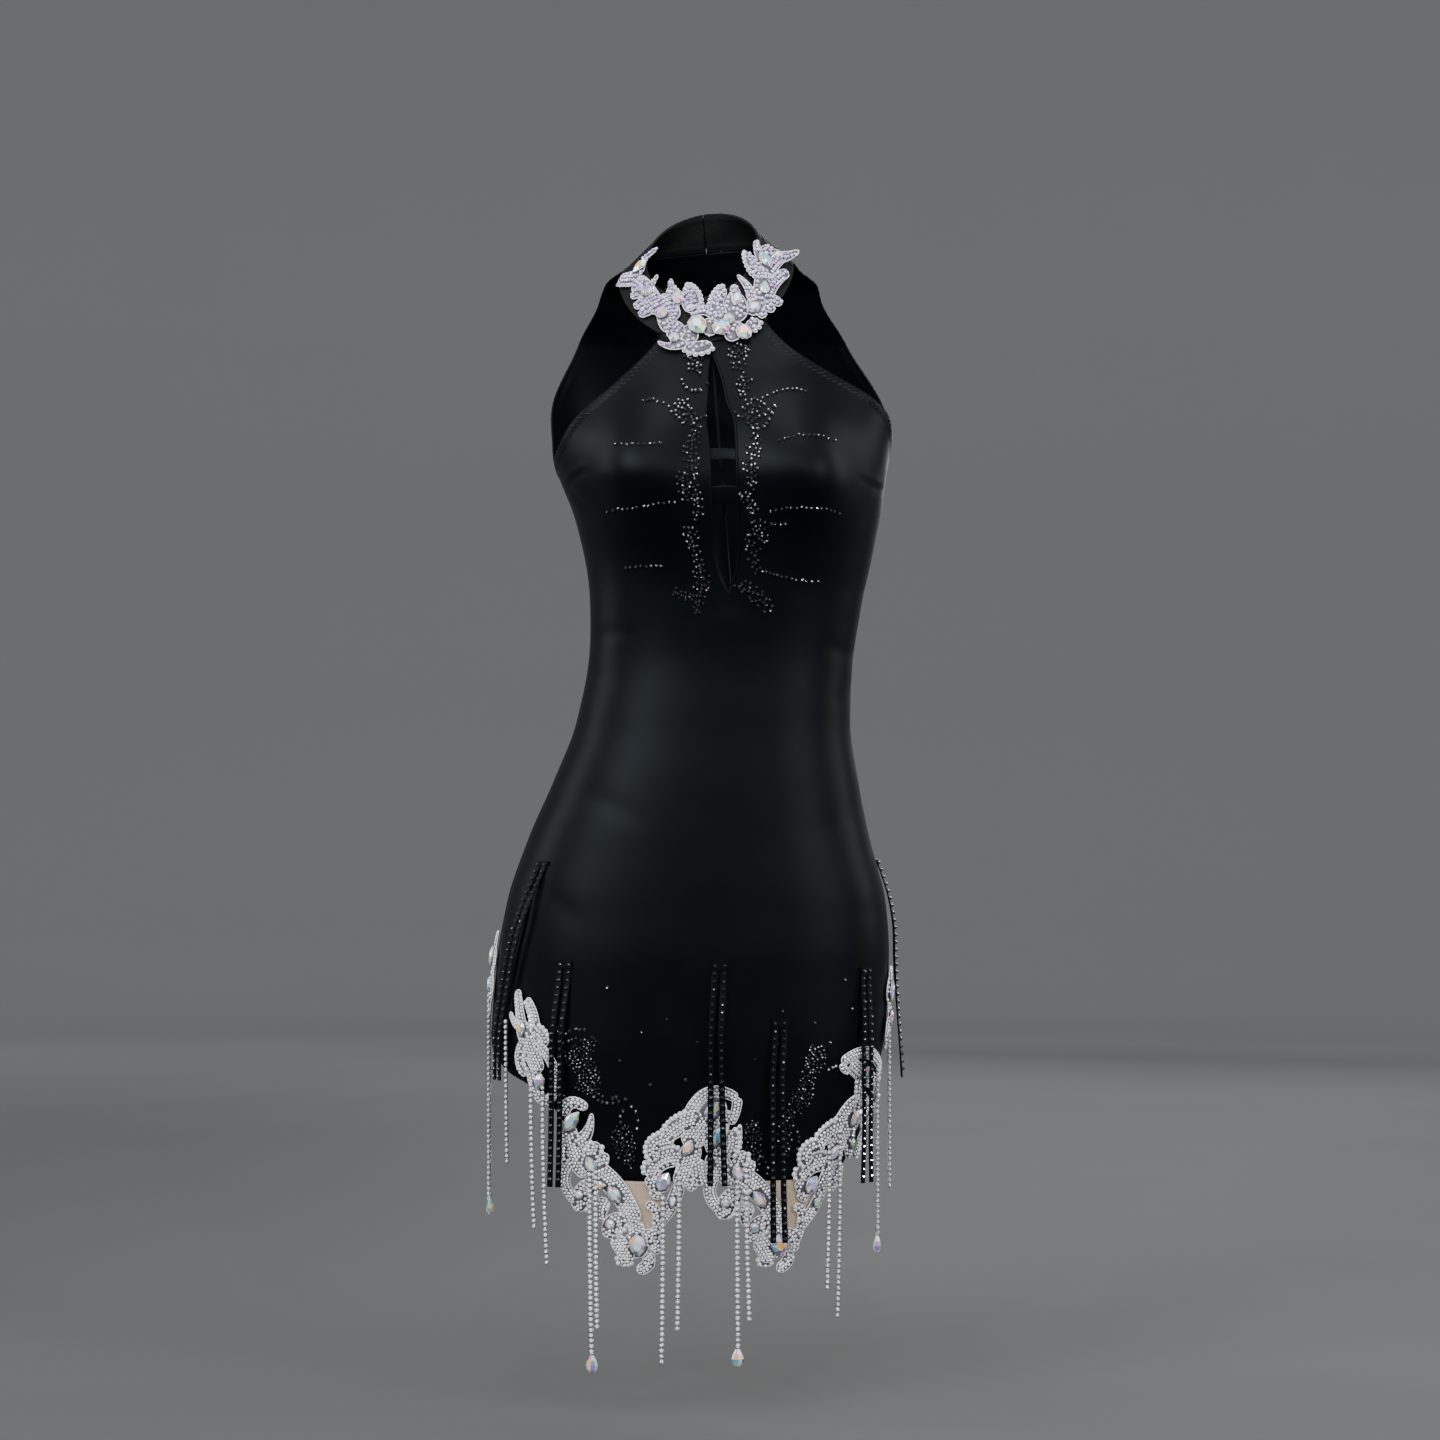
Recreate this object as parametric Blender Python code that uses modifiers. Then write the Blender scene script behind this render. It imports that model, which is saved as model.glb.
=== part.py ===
"""Latin dance dress: a close-fitting halter dress with a keyhole front, a leaf-trimmed neckband
and hem, hanging beaded ribbons and stone-chain fringe.

Metres, +Z up. The dress faces -Y and the viewer's right is +X. The origin is the centre of the
neckband, where the wearer's neck holds the dress up. An angle is measured round the body from the
front towards +X. The cloth is a wall that follows one table of sections, and whatever lies on the
cloth is placed by the same function, moved outwards.
"""
import math

import bmesh
import bpy
import numpy as np

# Driving sizes
WALL = 0.0015
BAND_WALL = 0.0018
SEAM = 0.0004
UNDERLAY = 0.0007
STRAP_WALL = 0.0010
NET_WALL = 0.0010
BAND_SLIT = 0.0006
RING_BLEND = 0.055
FRONT_COLUMNS = 26
BACK_COLUMNS = 24
FRONT_ARMHOLE_ROWS = 7
BACK_ARMHOLE_ROWS = 8
SEAM_ROWS = 19
BAND_COLUMNS = 40
BAND_ROWS = 3
MEAN_RADIUS = 0.11
SEAM_RADIUS = 0.14
SLIT_RADIUS = 0.055
BAND_HEIGHT = 0.040
NORMAL_STEP = 0.002
FINE_STEPS = 400

# Sections of the dress, top to bottom:
# height, centre_x, half_width, front_depth, back_depth, squareness
SECTIONS = [
    (0.040, 0.0030, 0.0520, 0.0400, 0.0520, 2.20),
    (0.020, 0.0030, 0.0840, 0.0440, 0.0620, 2.20),
    (0.008, 0.0040, 0.1240, 0.0500, 0.0690, 2.20),
    (-0.010, 0.0045, 0.1400, 0.0560, 0.0770, 2.20),
    (-0.040, 0.0060, 0.1540, 0.0650, 0.0900, 2.25),
    (-0.080, 0.0080, 0.1540, 0.0800, 0.0980, 2.25),
    (-0.123, 0.0115, 0.1420, 0.0950, 0.1010, 2.25),
    (-0.156, 0.0146, 0.1335, 0.1000, 0.1000, 2.25),
    (-0.189, 0.0184, 0.1246, 0.0950, 0.0960, 2.25),
    (-0.221, 0.0191, 0.1175, 0.0880, 0.0890, 2.25),
    (-0.254, 0.0174, 0.1117, 0.0840, 0.0810, 2.25),
    (-0.303, 0.0131, 0.1082, 0.0810, 0.0750, 2.25),
    (-0.353, 0.0070, 0.1119, 0.0840, 0.0820, 2.30),
    (-0.402, 0.0009, 0.1246, 0.0890, 0.0950, 2.30),
    (-0.451, -0.0049, 0.1402, 0.0930, 0.1100, 2.35),
    (-0.500, -0.0070, 0.1546, 0.0970, 0.1190, 2.40),
    (-0.549, -0.0098, 0.1603, 0.1000, 0.1200, 2.40),
    (-0.600, -0.0130, 0.1612, 0.1000, 0.1140, 2.45),
    (-0.650, -0.0150, 0.1540, 0.0980, 0.1040, 2.50),
    (-0.690, -0.0148, 0.1440, 0.0950, 0.0980, 2.55),
    (-0.730, -0.0155, 0.1365, 0.0920, 0.0930, 2.60),
    (-0.790, -0.0140, 0.1290, 0.0870, 0.0880, 2.60),
]
# Fullness added to the sections: angle_deg, height, rise, angle_spread_deg, height_spread
SWELLS = [
    (-32, -0.156, 0.027, 15, 0.036),
    (32, -0.156, 0.027, 15, 0.036),
    (-150, -0.530, 0.006, 17, 0.050),
    (150, -0.530, 0.006, 17, 0.050),
]
# How far the hips turn towards +X: height, turn_deg
TURN = [(-0.80, 8), (-0.50, 8), (-0.40, 6), (-0.303, 2), (-0.205, 0), (0.05, 0)]
# Lower edge of the black skirt: angle_deg, height
HEM = [
    (-180, -0.722), (-160, -0.716), (-140, -0.698), (-120, -0.662), (-105, -0.630),
    (-90, -0.613), (-82, -0.620), (-72, -0.636), (-64, -0.646), (-58, -0.662), (-50, -0.698),
    (-42, -0.718), (-30, -0.719), (40, -0.719), (55, -0.718), (64, -0.700), (73, -0.680),
    (82, -0.668), (90, -0.660), (105, -0.658), (120, -0.675), (140, -0.700), (160, -0.716),
    (180, -0.722),
]
# Rings of the neckband: centre_x, half_width, front, back, middle_z, tilt, dish, lean
BAND_BOTTOM = (0.001, 0.0715, 0.067, 0.060, 0.012, 0.0438, 0.0178, 0.006)
BAND_TOP = (-0.002, 0.0460, 0.048, 0.050, 0.031, 0.0400, 0.0025, 0.008)
# Where the panels leave the neckband, degrees round it
FRONT_JOIN = (-30, 40)
BACK_JOIN = (110, 250)
# Armhole edges from the neckband to the top of the side seam: angle_deg, height
FRONT_EDGE_LEFT = [(-43, -0.072), (-50, -0.090), (-62, -0.114), (-72, -0.132), (-90, -0.150)]
FRONT_EDGE_RIGHT = [(45, -0.056), (54.5, -0.074), (64, -0.089), (74, -0.105), (90, -0.136)]
BACK_EDGE_RIGHT = [
    (119, 0.010), (122, -0.008), (121, -0.034), (113, -0.075), (102, -0.112), (90, -0.136),
]
BACK_EDGE_LEFT = [
    (241, 0.007), (238, -0.008), (239, -0.034), (247, -0.080), (258, -0.124), (270, -0.150),
]

# Keyhole slit down the front, top to bottom: height, centre_x, half_width
KEYHOLE = [
    (-0.057, 0.0085, 0.0), (-0.081, 0.0095, 0.0052), (-0.098, 0.0103, 0.0076),
    (-0.116, 0.0130, 0.0112), (-0.137, 0.0150, 0.0104), (-0.165, 0.0160, 0.0100),
    (-0.195, 0.0172, 0.0098), (-0.220, 0.0179, 0.0090), (-0.238, 0.0186, 0.0055),
    (-0.249, 0.0188, 0.0),
]
KEYHOLE_STEPS = 15
CUTTER_FRONT = -0.095
CUTTER_HALF_DEPTH = 0.045
WELD = 0.00001
# Straps behind the keyhole: name, top, bottom, left_angle_deg, right_angle_deg
KEYHOLE_STRAPS = [
    ("keyhole_strap_upper", -0.137, -0.147, -9.5, 10.5),
    ("keyhole_strap_lower", -0.168, -0.182, -9.5, 10.5),
]

# Hanging ribbons, a pair to each:
# name, angle_top_deg, angle_bottom_deg, top, bottom, lift, ease, flare
RIBBON_PAIRS = [
    ("ribbon_pair_front_left", -50.3, -50.3, -0.5445, -0.7236, 0.0002, 0.0045, 0.0),
    ("ribbon_pair_front_middle", 12.4, 12.4, -0.5445, -0.7210, 0.0003, 0.0045, 0.0),
    ("ribbon_pair_front_right", 37.6, 37.6, -0.5905, -0.7670, 0.0003, 0.0045, 0.0),
    ("ribbon_pair_right", 66.8, 66.8, -0.5510, -0.7230, -0.0002, 0.0045, 0.0),
    ("ribbon_pair_side_left", -65.0, -74.0, -0.4660, -0.6420, -0.0002, 0.0045, 0.0),
    ("ribbon_pair_side_right", 92.0, 92.0, -0.4670, -0.6450, 0.0004, 0.0035, 0.06),
]
RIBBON_WIDTH = 0.0054
RIBBON_SPACING = 0.0076
RIBBON_WALL = 0.0012
RIBBON_BAR = 0.006
RIBBON_EASE_LENGTH = 0.060
RIBBON_ROWS = 9

# Padded leaves. A leaf's height follows its width, and its plain edge stands on the cloth.
LEAF_BASE = 0.0012
LEAF_EDGE = 0.0018
LEAF_RIDGE = 0.0032
STONE_RIDGE = 0.0044
LEAF_STAGGER = 0.00013
# Width along a leaf, root to tip, and along a stone, as shares of its full width
LEAF_PROFILE = [(0.0, 0.45), (0.35, 1.0), (0.72, 0.80)]
STONE_PROFILE = [(0.0, 0.25), (0.35, 1.0), (0.68, 0.95)]
STEM_PROFILE = [
    (0.0, 0.6), (0.12, 0.9), (0.25, 1.0), (0.37, 0.9), (0.5, 0.95), (0.62, 0.9), (0.75, 1.0),
    (0.87, 0.85),
]

# Leaves of a hem arm that is ARM_LENGTH long from crest to foot. Along runs down the arm and
# across runs away from the inside of its V: kind, along_0, across_0, along_1, across_1, width, bend
ARM_LENGTH = 0.143
ARM_LEAVES = [
    ("stem", 0.008, 0.002, 0.140, 0.001, 0.012, 0.06),
    ("leaf", 0.024, -0.003, -0.003, 0.014, 0.016, 0.45),
    ("leaf", 0.018, 0.000, 0.004, -0.014, 0.013, -0.35),
    ("leaf", 0.050, 0.002, 0.027, 0.021, 0.013, 0.30),
    ("leaf", 0.082, 0.002, 0.054, 0.022, 0.014, 0.30),
    ("leaf", 0.110, 0.002, 0.084, 0.021, 0.014, 0.28),
    ("leaf", 0.132, 0.002, 0.112, 0.017, 0.012, 0.28),
    ("leaf", 0.050, -0.001, 0.030, -0.022, 0.014, -0.30),
    ("leaf", 0.078, -0.001, 0.056, -0.023, 0.015, -0.30),
    ("leaf", 0.104, -0.001, 0.082, -0.020, 0.013, -0.28),
    ("leaf", 0.128, 0.000, 0.110, -0.014, 0.010, -0.25),
    ("leaf", 0.122, 0.002, 0.149, -0.002, 0.013, 0.20),
    ("stone", 0.020, 0.007, 0.037, -0.003, 0.011, 0.0),
    ("stone", 0.066, -0.005, 0.084, 0.003, 0.012, 0.0),
    ("stone", 0.106, -0.002, 0.124, 0.002, 0.011, 0.0),
]
# Leaves of a small side sprig that is SPRIG_LENGTH long
SPRIG_LENGTH = 0.090
SPRIG_LEAVES = [
    ("stem", 0.006, 0.000, 0.086, 0.000, 0.011, 0.08),
    ("leaf", 0.018, 0.000, -0.002, 0.008, 0.013, 0.40),
    ("leaf", 0.044, 0.001, 0.026, 0.019, 0.013, 0.30),
    ("leaf", 0.034, -0.001, 0.014, -0.013, 0.012, -0.30),
    ("leaf", 0.064, -0.001, 0.046, -0.014, 0.012, -0.30),
    ("leaf", 0.074, 0.001, 0.092, 0.009, 0.012, 0.25),
    ("stone", 0.022, -0.003, 0.036, 0.004, 0.010, 0.0),
    ("stone", 0.056, -0.003, 0.072, 0.002, 0.010, 0.0),
]
# Trim round the hem, an arm or sprig to a row: name, leaves, length, top_deg, top, bottom_deg,
# bottom, side. The side is 1 where across runs towards +X and -1 where it runs the other way.
HEM_TRIM = [
    ("hem_leaf_trim_front", ARM_LEAVES, ARM_LENGTH, -49.0, -0.654, -24.2, -0.783, -1),
    ("hem_leaf_trim_front", ARM_LEAVES, ARM_LENGTH, 8.5, -0.646, -21.5, -0.783, 1),
    ("hem_leaf_trim_front", ARM_LEAVES, ARM_LENGTH, 12.5, -0.664, 42.0, -0.783, -1),
    ("hem_leaf_trim_front", ARM_LEAVES, ARM_LENGTH, 65.5, -0.656, 45.0, -0.783, 1),
    ("hem_leaf_trim_left", SPRIG_LEAVES, SPRIG_LENGTH, -65.0, -0.5675, -55.0, -0.657, -1),
    ("hem_leaf_trim_side_left", SPRIG_LEAVES, SPRIG_LENGTH, -86.5, -0.525, -84.5, -0.594, -1),
    ("hem_leaf_trim_right", SPRIG_LEAVES, SPRIG_LENGTH, 60.0, -0.620, 84.0, -0.653, 1),
    ("hem_leaf_trim_side_right", SPRIG_LEAVES, SPRIG_LENGTH, 84.0, -0.553, 82.5, -0.620, 1),
]
# How much closer than the rest a trim is seated on the cloth under it
TRIM_SEAT = {
    "hem_leaf_trim_right": 0.0004,
    "hem_leaf_trim_side_right": 0.0006,
    "collar_leaf_trim": 0.0006,
}
# Stone chains that hang from the trim: trim, angle_deg, top, bottom, ends in a drop
CHAINS = [
    ("hem_leaf_trim_front", -42.0, -0.716, -0.8720, True),
    ("hem_leaf_trim_front", -38.2, -0.718, -0.8350, False),
    ("hem_leaf_trim_front", -10.8, -0.738, -0.8620, False),
    ("hem_leaf_trim_front", -3.0, -0.718, -0.8355, False),
    ("hem_leaf_trim_front", 23.6, -0.712, -0.8660, True),
    ("hem_leaf_trim_front", 27.5, -0.712, -0.8280, False),
    ("hem_leaf_trim_front", 58.0, -0.700, -0.8060, False),
    ("hem_leaf_trim_front", 61.5, -0.688, -0.8290, False),
    ("hem_leaf_trim_left", -68.8, -0.601, -0.7070, False),
    ("hem_leaf_trim_left", -59.5, -0.650, -0.7570, False),
    ("hem_leaf_trim_left", -55.5, -0.652, -0.7850, False),
    ("hem_leaf_trim_side_left", -87.0, -0.584, -0.7480, False),
    ("hem_leaf_trim_side_left", -84.3, -0.583, -0.7560, True),
    ("hem_leaf_trim_right", 78.0, -0.641, -0.7840, True),
    ("hem_leaf_trim_side_right", 83.8, -0.611, -0.7310, False),
]
CHAIN_WIDTH = 0.0036
CHAIN_DEPTH = 0.0026
CHAIN_LIFT = 0.0023
CHAIN_ROOT = 0.006
DROP_WIDTH = 0.0100
DROP_DEPTH = 0.0066
DROP_LENGTH = 0.017
DROP_FULLEST = 0.35
DROP_TIP = 0.2

# Nude net inside each V of the front hem: name, left_deg, right_deg, foot_deg, foot_height
HEM_TOP = -0.719
HEM_NETS = [
    ("hem_net_left", -36.0, -7.5, -22.0, -0.772),
    ("hem_net_right", 30.5, 57.5, 45.6, -0.772),
]
NET_ROWS = 5
NET_COLUMNS = 6
NET_NARROWING = 0.9

# Leaves on the neckband. Along runs round it from the front centre towards +X and across runs up
# from its lower edge: kind, along_0, across_0, along_1, across_1, width, bend
COLLAR_TRIM = [
    ("stem", -0.030, 0.014, 0.034, 0.012, 0.014, -0.10),
    ("leaf", -0.016, 0.014, -0.036, -0.004, 0.014, 0.25),
    ("leaf", 0.000, 0.013, -0.012, -0.008, 0.015, 0.15),
    ("leaf", 0.008, 0.013, 0.020, -0.007, 0.015, -0.15),
    ("leaf", 0.020, 0.014, 0.041, 0.001, 0.013, -0.25),
    ("leaf", -0.020, 0.012, -0.038, 0.026, 0.012, -0.25),
    ("leaf", 0.020, 0.012, 0.037, 0.029, 0.012, 0.25),
    ("leaf", -0.004, 0.012, -0.006, 0.031, 0.013, -0.10),
    ("stone", -0.028, 0.010, -0.010, 0.018, 0.012, 0.0),
    ("stone", 0.010, 0.019, 0.024, 0.008, 0.012, 0.0),
    ("stem", -0.021, 0.011, -0.112, 0.024, 0.013, 0.12),
    ("leaf", -0.056, 0.014, -0.046, -0.003, 0.013, 0.25),
    ("leaf", -0.070, 0.015, -0.064, -0.005, 0.014, 0.22),
    ("leaf", -0.088, 0.018, -0.086, -0.003, 0.013, 0.22),
    ("leaf", -0.064, 0.013, -0.050, 0.030, 0.012, -0.25),
    ("leaf", -0.082, 0.016, -0.070, 0.034, 0.012, -0.25),
    ("leaf", -0.100, 0.022, -0.122, 0.034, 0.013, 0.30),
    ("leaf", -0.102, 0.022, -0.108, 0.003, 0.012, 0.20),
    ("stone", -0.066, 0.011, -0.080, 0.019, 0.011, 0.0),
    ("stone", -0.092, 0.018, -0.106, 0.025, 0.010, 0.0),
    ("stem", 0.028, 0.012, 0.116, 0.022, 0.013, -0.12),
    ("leaf", 0.060, 0.014, 0.050, -0.003, 0.013, -0.25),
    ("leaf", 0.074, 0.014, 0.070, -0.005, 0.014, -0.22),
    ("leaf", 0.092, 0.016, 0.092, -0.004, 0.013, -0.22),
    ("leaf", 0.068, 0.013, 0.054, 0.030, 0.012, 0.25),
    ("leaf", 0.086, 0.015, 0.076, 0.033, 0.012, 0.25),
    ("leaf", 0.104, 0.020, 0.124, 0.008, 0.013, -0.30),
    ("leaf", 0.106, 0.021, 0.120, 0.036, 0.012, 0.25),
    ("stone", 0.070, 0.011, 0.084, 0.018, 0.011, 0.0),
    ("stone", 0.096, 0.017, 0.111, 0.022, 0.010, 0.0),
]
# Fastening tab over the slit at the centre back, its reach as shares of the band's height
TAB_HALF_ANGLE = 17
TAB_REACH = (0.10, 0.90)
TAB_WALL = 0.0012
TAB_LIFT = 0.0006

# Colours as red, green, blue, roughness
BLACK_SATIN = (0.012, 0.013, 0.016, 0.45)
BLACK_BAND = (0.010, 0.010, 0.012, 0.60)
SILVER_LEAF = (0.80, 0.80, 0.84, 0.35)
OPAL_LEAF = (0.72, 0.66, 0.82, 0.30)
NUDE_NET = (0.78, 0.60, 0.44, 0.80)
BEADED_BLACK = (0.006, 0.006, 0.007, 0.25)


def monotone_slopes(x, y):
    """Slopes that let a cubic pass through the rows of a table with no overshoot."""
    rise = np.diff(y, axis=0) / np.diff(x)[:, None]
    product = rise[:-1] * rise[1:]
    total = np.where(product > 0, rise[:-1] + rise[1:], 1.0)
    inner = np.where(product > 0, 2 * product / total, 0.0)
    return np.vstack([rise[:1], inner, rise[-1:]])


def table_reader(rows):
    """Function that reads a table of rows (x, values...) smoothly at any x."""
    table = np.array(rows, dtype=float)
    table = table[np.argsort(table[:, 0])]
    x, y = table[:, 0], table[:, 1:]
    slopes = monotone_slopes(x, y)

    def read(at):
        at = np.clip(np.asarray(at, dtype=float), x[0], x[-1])
        low = np.clip(np.searchsorted(x, at) - 1, 0, len(x) - 2)
        width = (x[low + 1] - x[low])[..., None]
        t = (at - x[low])[..., None] / width
        start = y[low] * (1 + 2 * t) * (1 - t) ** 2 + slopes[low] * width * t * (1 - t) ** 2
        end = y[low + 1] * t * t * (3 - 2 * t) - slopes[low + 1] * width * t * t * (1 - t)
        return start + end

    return read


read_section = table_reader(SECTIONS)
read_turn = table_reader(TURN)
read_hem = table_reader(HEM)
read_keyhole = table_reader(KEYHOLE)


def turn_at(height):
    """Turn of the hips at a height, in radians."""
    return np.radians(read_turn(height)[..., 0])


def wrapped(angle):
    """Angle brought between minus and plus half a turn."""
    return (angle + math.pi) % (2 * math.pi) - math.pi


def body_point(angle, height):
    """Point on the outside of the cloth at an angle and a height."""
    centre, half, front, back, power = np.moveaxis(read_section(height), -1, 0)
    side, ahead = np.sin(angle), np.cos(angle)
    depth = np.where(ahead > 0, front, back)
    radius = (np.abs(side / half) ** power + np.abs(ahead / depth) ** power) ** (-1 / power)
    for swell_deg, swell_height, rise, spread_deg, height_spread in SWELLS:
        off = wrapped(angle - math.radians(swell_deg)) / math.radians(spread_deg)
        level = (height - swell_height) / height_spread
        radius = radius + rise * np.exp(-0.5 * (off ** 2 + level ** 2))
    return np.stack([centre + radius * side, -radius * ahead, height + 0 * angle], axis=-1)


def on_dress(angle, height, out=0.0):
    """Point that lies a distance out from the dress, along its outward normal."""
    angle, height = np.broadcast_arrays(np.asarray(angle, float), np.asarray(height, float))
    point = body_point(angle, height)
    round_it = body_point(angle + NORMAL_STEP, height) - point
    down_it = body_point(angle, height - NORMAL_STEP) - point
    normal = np.cross(down_it, round_it)
    normal /= np.linalg.norm(normal, axis=-1, keepdims=True)
    return point + normal * np.asarray(out)[..., None]


def level_normal(angle, height):
    """Outward way of the cloth at a point, laid level."""
    outward = on_dress(angle, height, NORMAL_STEP) - on_dress(angle, height)
    outward[..., 2] = 0.0
    return outward / np.linalg.norm(outward, axis=-1, keepdims=True)


def ring_point(ring, angle):
    """Point on one ring of the neckband."""
    centre, half, front, back, middle, tilt, dish, lean = ring
    side, ahead = np.sin(angle), np.cos(angle)
    depth = np.where(ahead > 0, front, back)
    height = middle - tilt * ahead - dish * ahead ** 2 + lean * side
    return np.stack([centre + half * side, -depth * ahead, height], axis=-1)


def on_band(angle, share, out=0.0):
    """Point on the neckband, from share 0 at its foot to 1 at its top, moved outwards."""
    angle, share = np.broadcast_arrays(np.asarray(angle, float), np.asarray(share, float))

    def plain(a, s):
        low, high = ring_point(BAND_BOTTOM, a), ring_point(BAND_TOP, a)
        return low + (high - low) * s[..., None]

    point = plain(angle, share)
    down_it = plain(angle, share - NORMAL_STEP) - point
    normal = np.cross(down_it, plain(angle + NORMAL_STEP, share) - point)
    normal /= np.linalg.norm(normal, axis=-1, keepdims=True)
    return point + normal * np.asarray(out)[..., None]


def new_collection(name):
    """Collection of its own under the scene."""
    collection = bpy.data.collections.new(name)
    bpy.context.scene.collection.children.link(collection)
    return collection


def clear_scene():
    """Remove every object of the start-up scene."""
    for item in list(bpy.data.objects):
        bpy.data.objects.remove(item, do_unlink=True)


def cloth_material(name, look):
    """Plain Principled material of one colour and roughness."""
    red, green, blue, roughness = look
    material = bpy.data.materials.new(name)
    material.use_nodes = True
    shader = material.node_tree.nodes["Principled BSDF"]
    shader.inputs["Base Color"].default_value = (red, green, blue, 1.0)
    shader.inputs["Roughness"].default_value = roughness
    shader.inputs["Metallic"].default_value = 0.0
    material.diffuse_color = (red, green, blue, 1.0)
    return material


def mesh_object(name, points, faces, look, collection):
    """Object from points and faces, with its faces turned outwards and its own material."""
    mesh = bpy.data.meshes.new(name)
    mesh.from_pydata([tuple(map(float, p)) for p in points], [], faces)
    mesh.update()
    thing = bpy.data.objects.new(name, mesh)
    mesh.materials.append(cloth_material(name, look))
    collection.objects.link(thing)
    return thing


def grid_faces(rows, columns, keep=lambda row, column: True):
    """Quads of a grid whose rows run down and whose columns run round towards +X."""
    faces = []
    for row in range(rows - 1):
        for column in range(columns - 1):
            if keep(row, column):
                corner = row * columns + column
                faces.append((corner, corner + columns, corner + columns + 1, corner + 1))
    return faces


def walled_sheet(name, grid, wall, look, collection, keep=lambda row, column: True):
    """Closed wall that stands outwards from a grid of points on its inner side."""
    rows, columns = grid.shape[:2]
    sheet = mesh_object(name, grid.reshape(-1, 3), grid_faces(rows, columns, keep), look, collection)
    tidy = bmesh.new()
    tidy.from_mesh(sheet.data)
    loose = [vert for vert in tidy.verts if not vert.link_faces]
    bmesh.ops.delete(tidy, geom=loose, context="VERTS")
    tidy.to_mesh(sheet.data)
    tidy.free()
    solid = sheet.modifiers.new("wall", "SOLIDIFY")
    solid.thickness = wall
    solid.offset = 1.0
    solid.use_even_offset = False
    solid.use_rim = True
    sheet.data.shade_smooth()
    return sheet


def spread(points, count):
    """Count points at equal steps along a smooth line through the given points."""
    line = np.array(points, dtype=float)
    run = np.concatenate([[0], np.cumsum(np.linalg.norm(np.diff(line, axis=0), axis=1))])
    fine = np.linspace(0, run[-1], FINE_STEPS)
    path = table_reader(np.column_stack([run, line]))(fine)
    travel = np.concatenate([[0], np.cumsum(np.linalg.norm(np.diff(path, axis=0), axis=1))])
    want = np.linspace(0, travel[-1], count)
    return np.stack([np.interp(want, travel, path[:, k]) for k in range(path.shape[1])], axis=-1)


def patch(top, bottom, left, right):
    """Grid filled between four edge rows of points that share their corners."""
    across = np.linspace(0, 1, len(top))[None, :, None]
    down = np.linspace(0, 1, len(left))[:, None, None]
    rows = (1 - down) * top[None] + down * bottom[None]
    columns = (1 - across) * left[:, None] + across * right[:, None]
    corners = (1 - down) * ((1 - across) * top[0] + across * top[-1])
    corners = corners + down * ((1 - across) * bottom[0] + across * bottom[-1])
    return rows + columns - corners


def seam_edge(start, edge, side, rows_above):
    """Edge of a panel: round the armhole, then down the side seam to the hem."""
    inset = SEAM / 2 / SEAM_RADIUS
    corner = math.radians(edge[-1][0]) + side * inset
    armhole = [(start[0] * MEAN_RADIUS, start[1])]
    armhole += [(math.radians(degrees) * MEAN_RADIUS, height) for degrees, height in edge[:-1]]
    armhole.append((corner * MEAN_RADIUS, edge[-1][1]))
    above = spread(armhole, rows_above + 1)
    above[:, 0] /= MEAN_RADIUS
    foot = hem_height(corner)
    below = np.column_stack([
        np.full(SEAM_ROWS + 1, corner),
        np.linspace(edge[-1][1], foot, SEAM_ROWS + 1),
    ])
    return np.vstack([above, below[1:]])


def hem_height(angle):
    """Height of the skirt's lower edge at an angle that is measured on the cloth."""
    world = np.degrees(wrapped(angle + turn_at(HEM_TOP)))
    return read_hem(world)[..., 0]


def panel(name, join, edge_a, edge_b, rows_above, columns, sides, collection):
    """Front or back panel, from the neckband and armholes down to the hem."""
    round_band = np.radians(np.linspace(join[0], join[1], columns + 1))
    ring = on_band(round_band, -SEAM / BAND_HEIGHT, -WALL)
    centre = read_section(ring[:, 2])[:, 0]
    ring_angle = np.unwrap(np.arctan2(ring[:, 0] - centre, -ring[:, 1]))
    middle = math.radians(sum(join) / 2)
    ring_angle += 2 * math.pi * round((middle - ring_angle[columns // 2]) / (2 * math.pi))
    top = np.column_stack([ring_angle, ring[:, 2]])
    left = seam_edge(top[0], edge_a, sides[0], rows_above)
    right = seam_edge(top[-1], edge_b, sides[1], rows_above)
    foot_angle = np.linspace(left[-1, 0], right[-1, 0], columns + 1)
    bottom = np.column_stack([foot_angle, hem_height(foot_angle)])
    cloth = patch(top, bottom, left, right)
    angle, height = cloth[..., 0], cloth[..., 1]
    grid = on_dress(angle + turn_at(height), height, -WALL)
    fall = top[None, :, 1] - height + MEAN_RADIUS * np.abs(angle - top[None, :, 0])
    share = np.clip(fall / RING_BLEND, 0, 1)
    weight = (1 - share) ** 2 * (1 + 2 * share)
    grid = grid + weight[..., None] * (ring - grid[0])[None]
    return walled_sheet(name, grid, WALL, BLACK_SATIN, collection)


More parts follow.
